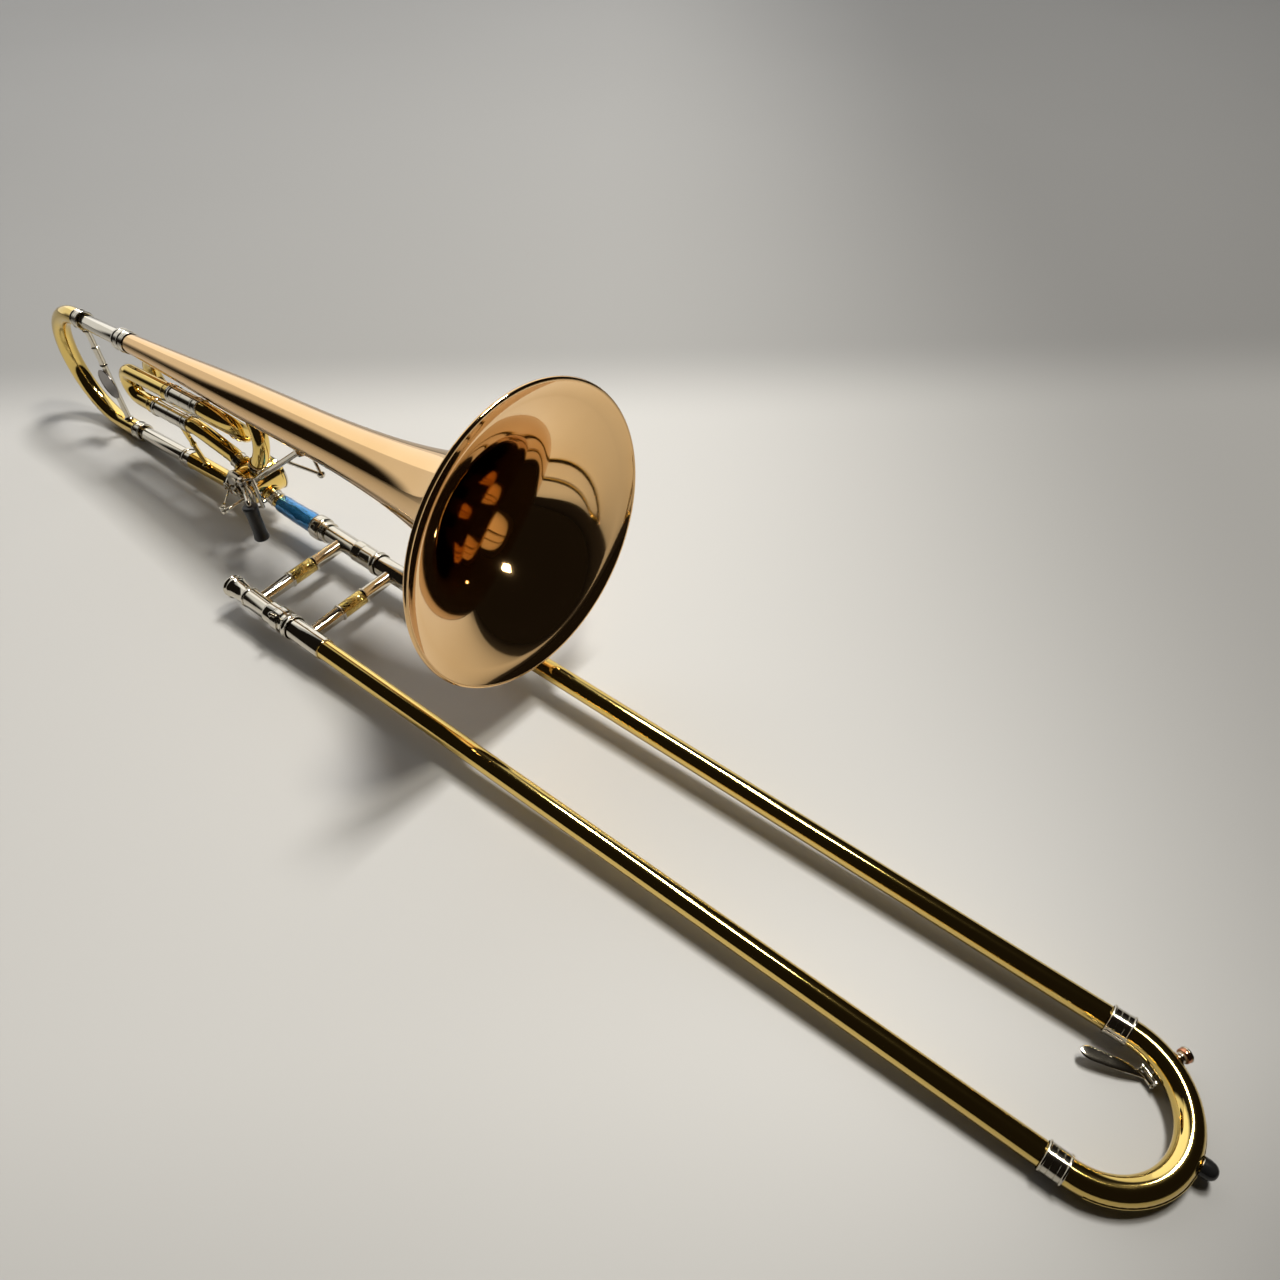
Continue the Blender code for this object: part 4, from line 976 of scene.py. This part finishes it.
class TROMBONE_OT_valve(bpy.types.Operator):
    """Rotary valve: casing with its ports, caps, rotor, stop arm and stop corks"""

    bl_idname = "trombone.valve"
    bl_label = "Rotary valve"

    def execute(self, context):
        half = 16.5
        shell = both_ways([(-half, 16.2), (-half, CASING_R), *groove(-half + 2.4, CASING_R)])
        solids = [turned("casing_shell", shell, BELL, VALVE, Y_AXIS, 80)]
        for i in range(4):
            _end, way = port(i)
            stub = [
                (16.3, 6.6), (16.3, 7.1), (17.2, 8.8), (18, 7.9), (18.6, 7.7), (19, 8.1), (19.7, 8.1),
                (20.1, 7.8), (20.5, 7.4), (20.5, 6.6),
            ]
            solids.append(turned("casing_port", stub, BELL, VALVE, way, 48, 0))
        fuse("rotor_casing", "bell_section", "yellow_brass", solids)
        edge = half + CLEAR
        rim = [(edge, 18.2), (edge + 1, 18.2), (edge + 1.4, 18), (edge + 2.2, 16.8), (edge + 2.8, 15)]
        far = [(edge, 0)] + rim + [
            (edge + 2.8, 12), (edge + 2.4, 11.6), (edge + 2.4, 11.2), (edge + 2.8, 10.8), (edge + 2.8, 3),
            (edge + 2.2, 2.6), (edge + 2.2, 0),
        ]
        knurl = (edge - 0.1, edge + 1.5, 17.8, 0.985)
        fit("valve_cap_far", "bell_section", "nickel_silver", far, BELL, VALVE, Y_AXIS, 96, 0, knurl)
        plate = edge + 3.6
        step = [(edge + 2.8, 12.3), (plate - 0.1, 12.3), (plate, 12.1), (plate, 2.9)]
        near = [(edge, 2.9), (edge, 18.2)] + rim[1:] + step
        fit("valve_cap_near", "bell_section", "nickel_silver", near, BELL, VALVE, -Y_AXIS, 96, 0)
        refinish("valve_rotor", "yellow_brass")
        tip = [(22.5, 0), (22.5, 2.4), (24, 2.4), (24, 3), (24.6, 3.3), (25.2, 3.1), (25.6, 2.2), (25.6, 0)]
        trim("spindle_tip", "rotor", "nickel_silver", tip, BELL, VALVE, -Y_AXIS, 28)
        start = ARM_FACE
        hub = turned("arm_hub", eased(start, start + 3, 2.7, 4.8, 0.3, 0.2), BELL, VALVE, -Y_AXIS, 40)
        way = spoke(ARM_TURN)
        level = VALVE - Y_AXIS * (start + 1.5)
        tip = level + way * ARM_REACH
        arms = [
            hub,
            rod("stop_lug", level - way * 8.5, level - way * 3.8, 1.3, BELL),
            rod("arm_reach", level + way * 3.8, tip, 1.3, BELL),
            rod("arm_stud", tip, tip - Y_AXIS * 7.5, 1, BELL),
        ]
        fuse("rotor_stop_arm", "rotor", "nickel_silver", arms)
        cork = [(0, 0), (0, 1.6), (0.3, 1.7), (3.1, 1.7), (3.4, 1.5), (3.4, 0)]
        face = VALVE - Y_AXIS * start
        for name, turn in (("stop_cork_rest", 0.40), ("stop_cork_played", -math.pi / 2 - 0.40)):
            place = face + spoke(ARM_TURN + math.pi + turn) * 8.8
            fit(name, "bell_section", "cork", cork, BELL, place, -Y_AXIS, 28)
        screw = [(-0.6, 0), (-0.6, 1.6), (0, 1.6), (0.4, 1.1), (0.5, 0)]
        for i in range(2):
            place = face + spoke(math.radians(60 + 180 * i)) * 9.8
            trim(
                "plate_screw_" + str(i + 1), "bell_section", "nickel_silver", screw, BELL, place, -Y_AXIS,
                24,
            )
        return {"FINISHED"}


class TROMBONE_OT_thumb_lever(bpy.types.Operator):
    """Thumb lever with its grip, pivot rod, spring, saddle and link"""

    bl_idname = "trombone.thumb_lever"
    bl_label = "Thumb lever"

    def execute(self, context):
        low, high = VALVE.z - 4.5, VALVE.z + 18.5
        pivot = Vector((-328, -25.5, 0))
        grip = Vector((38, -18.5, 0))
        way = grip.normalized()
        top = Z_AXIS * -64
        tube = [
            (low, 1.8), (low, 2.9), (low + 0.3, 3.2), (low + 1.6, 3.2), (low + 1.9, 2.9), (high - 1.9, 2.9),
            (high - 1.6, 3.2), (high - 0.3, 3.2), (high, 2.9), (high, 1.8),
        ]
        knee = pivot + way * 2.6
        touch = pivot + grip
        path = [knee + Z_AXIS * (high - 2), pivot + grip * 0.7 + top, touch + top, touch - Z_AXIS * 99]
        link_z = VALVE.z + ARM_REACH * 0.854
        tail = pivot + Vector((0, -24, link_z))
        bars = [
            turned("lever_tube", tube, BELL, pivot, Z_AXIS, 32),
            bent("lever_arm", path[0], corner_moves(path, (6, 2.5)), 1.8, BELL, None, 24),
            rod("lever_strut", knee + Z_AXIS * (high - 10), pivot + grip * 0.93 + top, 1.4, BELL),
            rod("lever_tail", pivot + Vector((0, -2.6, link_z)), tail, 1.5, BELL),
            rod("tail_stud", tail, tail + Z_AXIS * 5, 1, BELL),
            turned("tail_eye", eased(-1.7, 1.7, 0, 2.6, 0.4, 0.4), BELL, tail, Z_AXIS, 28),
        ]
        fuse("thumb_lever", "thumb_lever", "nickel_silver", bars)
        half = 33.5 / 2
        end = [(-half, 2.1), (-half, 5.4), (-half + 0.4, 6.1), (-half + 1.4, 6.6)]
        waist = []
        for i in range(1, 16):
            share = i / 16 * 2 - 1
            waist.append((share * (half - 1.6), 5.6 + share**4))
        outline = both_ways(end, waist)
        place = touch - Z_AXIS * (67 + half)
        fit("thumb_grip", "thumb_lever", "black_plastic", outline, BELL, place, Z_AXIS, 56, 0)
        pin = [
            (low - 3.8, 0), (low - 3.8, 2), (low - 3.4, 2.2), (low - 3.2, 1.5), (high + 6.2, 1.5),
            (high + 6.4, 2.4), (high + 7, 2.6), (high + 7.4, 2.2), (high + 7.4, 0),
        ]
        fit("lever_pivot_rod", "bell_section", "nickel_silver", pin, BELL, pivot, Z_AXIS, 28, 0)
        self.coil(pivot + Z_AXIS * (high + 1.8))
        self.saddle(pivot, low, high)
        hinge = tail + Z_AXIS * 3.5
        stud = Vector((VALVE.x + ARM_REACH * math.cos(ARM_TURN), -ARM_FACE - 6, link_z + 0.1))
        reach = (stud - hinge).normalized()
        bars = [
            turned("link_eye", eased(-1, 1, 1.3, 2.9, 0.4, 0.3), BELL, hinge, Z_AXIS, 32),
            turned("link_far_eye", eased(-0.9, 0.9, 2.4, 4, 0.4, 0.3), BELL, stud, Y_AXIS, 32),
            rod("link_rod", hinge + reach * 2.1, stud + X_AXIS * 3.2, 0.9, BELL),
            turned("link_nut", sleeve(4, 6.2, 0.4, 1.7), BELL, hinge, reach, 6, 0),
        ]
        fuse("lever_link", "lever_link", "nickel_silver", bars)
        return {"FINISHED"}

    def coil(self, place):
        """Return spring, drawn from a ring by small turns round the pivot."""
        radius, wire = 2.4, 0.35
        rise = wire * 2.8 / (2 * math.pi)
        corners = []
        for i in range(49):
            angle = 2 * math.pi * i / 24
            corners.append(place + spokes(angle)[0] * radius + Z_AXIS * (angle - 2 * math.pi) * rise)
        bpy.ops.object.select_all(action="DESELECT")
        bpy.ops.curve.primitive_nurbs_path_add()
        line = bpy.context.object
        line.name = "lever_spring_look"
        line.data.splines.clear()
        run = line.data.splines.new("POLY")
        run.points.add(len(corners) - 1)
        for point, corner in zip(run.points, corners):
            point.co = (*corner, 1)
        line.data.bevel_depth = wire
        line.data.bevel_resolution = 3
        line.data.use_fill_caps = True
        choose(line)
        bpy.ops.object.convert(target="MESH")
        line = bpy.context.object
        bpy.ops.object.shade_smooth_by_angle(angle=math.radians(50))
        settle(line, BELL)
        dress(line, "bell_section", "spring_steel", "lever_spring")

    def saddle(self, pivot, low, high):
        """Post on the casing with two ears for the pivot rod."""
        post = pivot + Vector((5.5, 7, 0))
        level = VALVE.z - 2.5
        foot = Vector((VALVE.x + CASING_R, -12.5, level))
        low_ear, high_ear = low - 1.7, high + 4.5
        path = [foot, Vector((post.x, foot.y, level)), Vector((post.x, post.y, level))]
        flange = [(0, 0), (0, 3.4), (0.4, 3.6), (1, 2.4), (1.2, 0)]
        ends = [
            bent("saddle_foot", foot, corner_moves(path, (3,)), 1.6, BELL, None, 24),
            rod("saddle_post", post + Z_AXIS * (low_ear - 1), post + Z_AXIS * (high_ear + 1), 1.7, BELL),
            turned("saddle_flange", flange, BELL, foot, X_AXIS, 32),
        ]
        for height in (low_ear, high_ear):
            lift = Z_AXIS * height
            ring = eased(-0.7, 0.7, 1.8, 3.4, 0.2, 0.2)
            ends.append(turned("saddle_ear", ring, BELL, pivot + lift, Z_AXIS, 32))
            ends.append(rod("saddle_arm", post + lift, post.lerp(pivot, 0.7) + lift, 1.1, BELL))
        fuse("lever_saddle", "bell_section", "nickel_silver", ends)


class TROMBONE_OT_f_attachment(bpy.types.Operator):
    """Loops, receivers and tuning slide of the F attachment"""

    bl_idname = "trombone.f_attachment"
    bl_label = "F attachment"

    def execute(self, context):
        near, far = -12.5, 12.5
        upper, middle, lower = -20.8, -47.8, -57.8
        rear, front = -487, -379
        upper_end, middle_end, stub_end = -419.5, -462, -412
        start, way = port(1, CLEAR)
        corner = start + way * ((upper - start.z) / way.z)
        corner = Vector((corner.x, far, upper))
        moves = corner_moves([start, start + way * 3, corner, (front, far, upper)], (12, 30))
        moves += bow_moves((front, far, upper), (front - CLEAR, far, lower), rear)
        draw("f_far_loop", "bell_section", "yellow_brass", start, moves, TUBE_R, BELL, TUBE_WALL)
        start = Vector((front, near, upper))
        moves = bow_moves(start, (front, far, lower), front + 2)
        draw("f_front_bow", "bell_section", "yellow_brass", start, moves, TUBE_R, BELL, TUBE_WALL)
        start, way = port(2, CLEAR)
        moves = corner_moves(
            [start, start + way * 10, (-398, near, middle), (stub_end, near, middle)], (12, 12),
        )
        draw("f_middle_tube", "bell_section", "yellow_brass", start, moves, TUBE_R, BELL, TUBE_WALL)
        for name, height, first, last in (
            ("upper", upper, upper_end, front - CLEAR), ("lower", middle, middle_end, stub_end - CLEAR),
        ):
            outline = [
                (first, 6.6), (first, 8.1), (first + 0.5, 8.5), (first + 1.4, 8.5), (first + 1.9, 8.1),
                (first + 2.3, 8.4), (first + 3.4, 8.4), (first + 3.8, 7.8), (first + 4, 7.6),
            ]
            for share in (0.5, 0.86, 0.93):
                outline += groove(first + (last - first) * share, 7.6, 0.3, 0.1, -0.2)
            outline += [(last - 0.2, 7.6), (last, 7.4), (last, 6.6)]
            place = (0, near, height)
            fit("f_receiver_" + name, "bell_section", "nickel_silver", outline, BELL, place, edge=0)
        begin = Vector((upper_end - CLEAR, near, upper))
        moves = bow_moves(begin, (middle_end - CLEAR, near, middle), rear)
        bows = [bent("f_bow", begin, moves, TUBE_R, BELL, 1.1)]
        for height, first, insert in ((upper, upper_end, 34.5), (middle, middle_end, 44)):
            place = (0, near, height)
            mouth = beaded_ferrule(first - 8, first - 0.8, 7, 7.4, 0.4, 1.2)
            bows.append(turned("f_leg", sleeve(first - 4, first + insert, 5.8, 6.3), BELL, place))
            bows.append(turned("f_mouth", mouth, BELL, place, edge=0))
        fuse("f_slide_bow", "f_tuning_slide", "yellow_brass", bows)
        for i, radius in enumerate((NECK_R, TUBE_R, TUBE_R, TUBE_R)):
            place, way = port(i)
            ring = beaded_ferrule(0.2, 6.2, radius - 0.1, radius + 0.6, 0.5, 1.2)
            name = "port_collar_" + str(i + 1)
            trim(name, "bell_section", "nickel_silver", ring, BELL, place, way, edge=0)
        for name, x, side, height in (
            ("a", front, near, upper), ("b", front, far, upper), ("c", front, far, lower),
            ("d", stub_end, near, middle),
        ):
            ring = beaded_ferrule(x - 4.2, x + 4.2, 7, 7.7, 0.5, 1.4)
            place = (0, side, height)
            trim("f_ferrule_" + name, "bell_section", "nickel_silver", ring, BELL, place, edge=0)
        return {"FINISHED"}


class TROMBONE_OT_tuning_slide(bpy.types.Operator):
    """Main tuning slide with its legs, brace and bare disc, and the tubes that it runs in"""

    bl_idname = "trombone.tuning_slide"
    bl_label = "Tuning slide"

    def execute(self, context):
        low = LOWER_LEG
        upper_x, lower_x, bow_x, bow_r = -574, -555, -591.5, 8.3
        start = Vector((upper_x, 0, 0))
        moves = bow_moves(start, (lower_x, 0, low), bow_x)
        bow = bent("tuning_bow", start, moves, bow_r, BELL, 0.8, 48)
        dress(bow, "tuning_slide", "yellow_brass", "tuning_slide_bow")
        for name, height, first, last in (("upper", 0, upper_x, -476), ("lower", low, lower_x, -451)):
            leg = [(first - 10, 6.8), (first - 10, 7.2), (last - 0.2, 7.2), (last, 7), (last, 6.8)]
            fit("tuning_leg_" + name, "tuning_slide", "nickel_silver", leg, BELL, (0, 0, height))
            ring = beaded_ferrule(-9.5, 1.8, 7.6, 8.5)
            place = (first, 0, height)
            trim("tuning_ferrule_" + name, "tuning_slide", "nickel_silver", ring, BELL, place, edge=0)
        place = Vector((-577.5, 0, 0))
        top, bottom = -bow_r - 0.9 - CLEAR, low + bow_r + CLEAR
        foot = [(0, 0), (0, 4.4), (0.6, 4.6), (1.6, 4), (2.2, 3), (3, 2.7)]
        beads = [
            (-47.5, 2.7), (-47, 3.4), (-46.4, 3.9), (-45.6, 3.6), (-45, 3.1), (-29, 3.1), (-28.4, 3.6),
            (-27.6, 3.9), (-27, 3.4), (-26.5, 2.7),
        ]
        post = [(bottom + rise, radius) for rise, radius in foot] + beads
        post += [(top - rise, radius) for rise, radius in reversed(foot)]
        fit("tuning_brace", "tuning_slide", "nickel_silver", post, BELL, place, Z_AXIS, 40, 0)
        disc = [(0, 0), (0, 14.7), (0.3, 15), (0.9, 15), (1.2, 14.7), (1.2, 13.2), (1, 13), (1, 0)]
        place += Vector((0, -2.9 - CLEAR, -65.5))
        fit("tuning_disc", "tuning_slide", "dark_nickel", disc, BELL, place, -Y_AXIS, 72, 0)
        start, way = port(3, CLEAR)
        corner = start + way * ((low - start.z) / way.z)
        joint_x = -399.7
        moves = corner_moves([start, corner, (joint_x, 0, low)], (8.2,))
        draw("valve_outlet_tube", "bell_section", "yellow_brass", start, moves, TUBE_R, BELL, TUBE_WALL)
        joint = [
            (-5, 8.3), (-5, 9.3), (-4.7, 9.6), (-4, 9.6), (-3.6, 9.3), (-1.4, 9.3), (-1, 9.6), (-0.3, 9.6),
            (0.1, 9.2), (1.2, 8.1), (2.4, 8), (5.8, 8), (6, 7.8), (6, 7.4), (0.6, 7.4), (0.0, 8.3),
        ]
        fit("lower_joint_ferrule", "bell_section", "nickel_silver", joint, BELL, (joint_x, 0, low), edge=0)
        mouth = (-475, 0, low)
        step = [(-2.2, 9.6), (-1.2, 9.6), (-0.8, 9.3), (0, 9.3), (0.4, 9.6), (1.4, 9.6)]
        body = [
            (-2.5, 7.5), (-2.5, 9.3), *step, (1.8, 9.3), (2, 8.8), (9, 8.8), (9.4, 8.4), (10, 8), (75, 8),
            (75, 7.5),
        ]
        fit("lower_receiver", "bell_section", "yellow_brass", body, BELL, mouth, edge=0)
        skin = [(along, radius + 0.03) for along, radius in step]
        cuff = [(-2.52, 9.3), *skin, (1.9, 9.3), (2.1, 8.84), (9.1, 8.84), (9.6, 8.2), (9, 8), (-2, 8)]
        trim("receiver_cuff", "bell_section", "nickel_silver", cuff, BELL, mouth, edge=0)
        return {"FINISHED"}


class TROMBONE_OT_braces(bpy.types.Operator):
    """Braces of the bell section, with their flanges, and the small ball bracket below the stem"""

    bl_idname = "trombone.braces"
    bl_label = "Braces"

    def execute(self, context):
        for name, foot, top, radius, finish in (
            ("bell_brace_near", (-336.6, -12.8, -80.3), (-243, -8.5, -15), 2.6, "nickel_silver"),
            ("bell_brace_far", (-336.6, 15.5, -80.3), (-250, 11, -14), 1.8, "yellow_brass"),
        ):
            foot, top = Vector(foot), Vector(top)
            long = (top - foot).length
            flange = long * 0.965
            bar = [
                (0, 0), (0, radius + 1.2), (0.8, radius + 1.4), (1.6, radius + 0.6), (2.2, radius),
                (flange - 3.6, radius), (flange - 2.8, radius + 0.9), (flange - 1.8, radius + 1.2),
                (flange - 0.8, radius + 0.8), (flange, radius + 2.2), (long - 0.4, radius + 2.4),
                (long - 0.4, 0),
            ]
            fit(name, "bell_section", finish, bar, BELL, foot, top - foot, 40, 0)
        start, end = Vector((-436, -11.2, -55.7)), Vector((-436, -3, -105.5))
        half = (end - start).length / 2
        bar = [
            (-half, 0), (-half, 3.6), (0.8 - half, 3.8), (1.6 - half, 3), (2.2 - half, 2.2), (-2, 2.2),
            (-1.2, 2.8),
        ]
        bar = both_ways(bar, [(0, 3)])
        place = start.lerp(end, 0.5)
        fit("f_lower_brace", "bell_section", "yellow_brass", bar, BELL, place, end - start, 40, 0)
        knob = Vector((-235.4, -3, -38.2))
        arm = rod("hook_arm", (-270.8, -9.7, -35.5), knob, 1.4, BELL)
        strut = rod("hook_strut", knob, (-243, -2, -18.6), 1.3, BELL)
        piece = join([arm, strut, ball("hook_ball", knob, 3.2, BELL)], "ball_bracket")
        dress(piece, "bell_section", "nickel_silver")
        return {"FINISHED"}


class TROMBONE_OT_stage(bpy.types.Operator):
    """Pale floor, soft lamps, a studio sky and the camera"""

    bl_idname = "trombone.stage"
    bl_label = "Stage"

    def execute(self, context):
        eye = Vector((-69.41, -284.11, 564.71))
        right = Vector((0.78362, 0.62099, -0.01782))
        down = Vector((0.45117, -0.58858, -0.67084))
        ahead = Vector((-0.42707, 0.51764, -0.74139))
        self.floor(context, SLIDE @ eye, right, ahead)
        self.sky(context)
        self.lamps()
        bpy.ops.object.camera_add()
        camera = bpy.context.object
        camera.name = "view"
        turn = Matrix((right, -down, -ahead)).transposed().to_4x4()
        camera.matrix_world = Matrix.Translation(SLIDE @ eye) @ LIE @ turn
        camera.data.sensor_width = 36
        camera.data.lens = 27.835
        camera.data.clip_start = 0.02
        context.scene.camera = camera
        context.scene.view_settings.view_transform = "Standard"
        return {"FINISHED"}

    def floor(self, context, eye, right, ahead):
        """Satin sheet with painted shade, darker to the right, in front and beyond a line far out, and a
        painted dark reflection far out where metal mirrors it.
        """
        bpy.ops.object.select_all(action="DESELECT")
        bpy.ops.mesh.primitive_circle_add(vertices=96, radius=9.0, fill_type="NGON")
        sheet = bpy.context.object
        sheet.name = "floor"
        made = Finish("floor_sheet")
        spot = made.place()

        def reach(way, low, high):
            return made.along(spot, way, way.dot(eye) + low, way.dot(eye) + high)

        side = Vector((right.x, right.y, 0)).normalized()
        back = Vector((ahead.x, ahead.y, 0)).normalized()
        # Painted shade: these masks darken the sheet's colour to the right, in front and beyond a line far
        # out, standing for the fall-off of the lamps' light.
        painted_shade_to_right = reach(side, -0.10, 0.55)
        front = reach(back, 0.08, 0.24)
        painted_shade_far_out = reach(back, 0.86, 1.02)
        tone = tuple(context.scene.trombone_finishes.floor)
        painted_shade_in_front = made.blend(painted_shade_to_right, shaded(tone, 0.86), shaded(tone, 0.18))
        near = made.blend(front, painted_shade_in_front, made.blend(painted_shade_to_right, tone, shaded(tone, 0.42)))
        far = made.blend(painted_shade_to_right, shaded(tone, 0.58), shaded(tone, 0.28))
        # Painted reflection: seen in the metal's mirror, the floor below and outside these lines turns near
        # black, standing for the dark room.
        below = reach(Vector((0.619, -0.785, 0)), -0.06, -0.03)
        outside = reach(Vector((0.966, 0.261, 0)), 0.25, 0.27)
        room = (below + outside - below * outside) * made.mirrored()
        made.set(
            Base_Color=made.blend(room, made.blend(painted_shade_far_out, near, far), (0.008, 0.006, 0.005)),
            Roughness=made.noise(spot, 1.6, 2.0) * 0.1 + 0.42,
            Specular_IOR_Level=0.35,
            Normal=made.bump(made.noise(spot, 900.0, 2.0), 0.05, 0.0002),
        )
        sheet.data.materials.append(made.material)

    def sky(self, context):
        """Pale walls, dark high up on the side of the room, and dark lower too where metal mirrors them."""
        world = bpy.data.worlds.new("studio")
        context.scene.world = world
        world.use_nodes = True
        made = Nodes(world.node_tree)
        way = made.node("ShaderNodeTexCoord")
        high = made.along(way, Z_AXIS, 0.03, 0.09)
        mirrored = made.mirrored()
        height = high + mirrored - high * mirrored
        room = made.along(way, Vector((0.85, -0.53, 0)), -0.62, -0.50)
        walls = made.blend(made.along(way, Z_AXIS, 0.0, 1.0), (0.86, 0.855, 0.84), (0.78, 0.77, 0.74))
        sky = made.blend(height * room, walls, (0.010, 0.008, 0.006))
        feed(made.tree, made.tree.nodes["Background"].inputs["Color"], sky)

    def lamps(self):
        """Key lamp from the far right, a wide weak fill from behind and a small spot for sparkle."""
        middle = Vector((-300, 0, 50))
        for name, way, far, wide, power, colour in (
            ("key", (0.010, 0.773, 1.391), 3200, 0.60, 78.0, (1.0, 0.98, 0.94)),
            ("fill", (-1.2, 0.9, 1.0), 3600, 4.0, 24.0, (0.97, 0.98, 1.0)),
            ("spot", (0.31, 0.53, 1.50), 2000, 0.30, 14.0, (1.0, 0.95, 0.84)),
        ):
            way = Vector(way).normalized()
            bpy.ops.object.select_all(action="DESELECT")
            bpy.ops.object.light_add(type="AREA")
            lamp = bpy.context.object
            lamp.name = name
            lamp.data.shape = "SQUARE"
            lamp.data.size = wide
            lamp.data.energy = power
            lamp.data.color = colour
            turn = way.to_track_quat("Z", "Y").to_matrix().to_4x4()
            lamp.matrix_world = Matrix.Translation(SLIDE @ (middle + way * far)) @ LIE @ turn


STEPS = (
    TROMBONE_OT_slide_tubes,
    TROMBONE_OT_slide_fittings,
    TROMBONE_OT_slide_braces,
    TROMBONE_OT_crook,
    TROMBONE_OT_water_key,
    TROMBONE_OT_bell,
    TROMBONE_OT_neckpipe,
    TROMBONE_OT_valve,
    TROMBONE_OT_thumb_lever,
    TROMBONE_OT_f_attachment,
    TROMBONE_OT_tuning_slide,
    TROMBONE_OT_braces,
    TROMBONE_OT_stage,
)


class TROMBONE_PT_pieces(bpy.types.Panel):
    """Sizes, colours and the steps that build the trombone"""

    bl_idname = "TROMBONE_PT_pieces"
    bl_label = "Tenor Trombone"
    bl_space_type = "VIEW_3D"
    bl_region_type = "UI"
    bl_category = "Trombone"

    def draw(self, context):
        layout = self.layout
        for settings in (context.scene.trombone_sizes, context.scene.trombone_finishes):
            for key in settings.bl_rna.properties.keys():
                if key not in ("rna_type", "name"):
                    layout.prop(settings, key)
        for step in STEPS:
            layout.operator(step.bl_idname)


CLASSES = (TromboneSizes, TromboneFinishes) + STEPS + (TROMBONE_PT_pieces,)


def register():
    for item in CLASSES:
        bpy.utils.register_class(item)
    bpy.types.Scene.trombone_sizes = bpy.props.PointerProperty(type=TromboneSizes)
    bpy.types.Scene.trombone_finishes = bpy.props.PointerProperty(type=TromboneFinishes)


def unregister():
    del bpy.types.Scene.trombone_finishes
    del bpy.types.Scene.trombone_sizes
    for item in reversed(CLASSES):
        bpy.utils.unregister_class(item)


def main():
    register()
    for step in STEPS:
        group, name = step.bl_idname.split(".")
        getattr(getattr(bpy.ops, group), name)()
    bpy.ops.object.select_all(action="DESELECT")


if __name__ == "__main__":
    main()
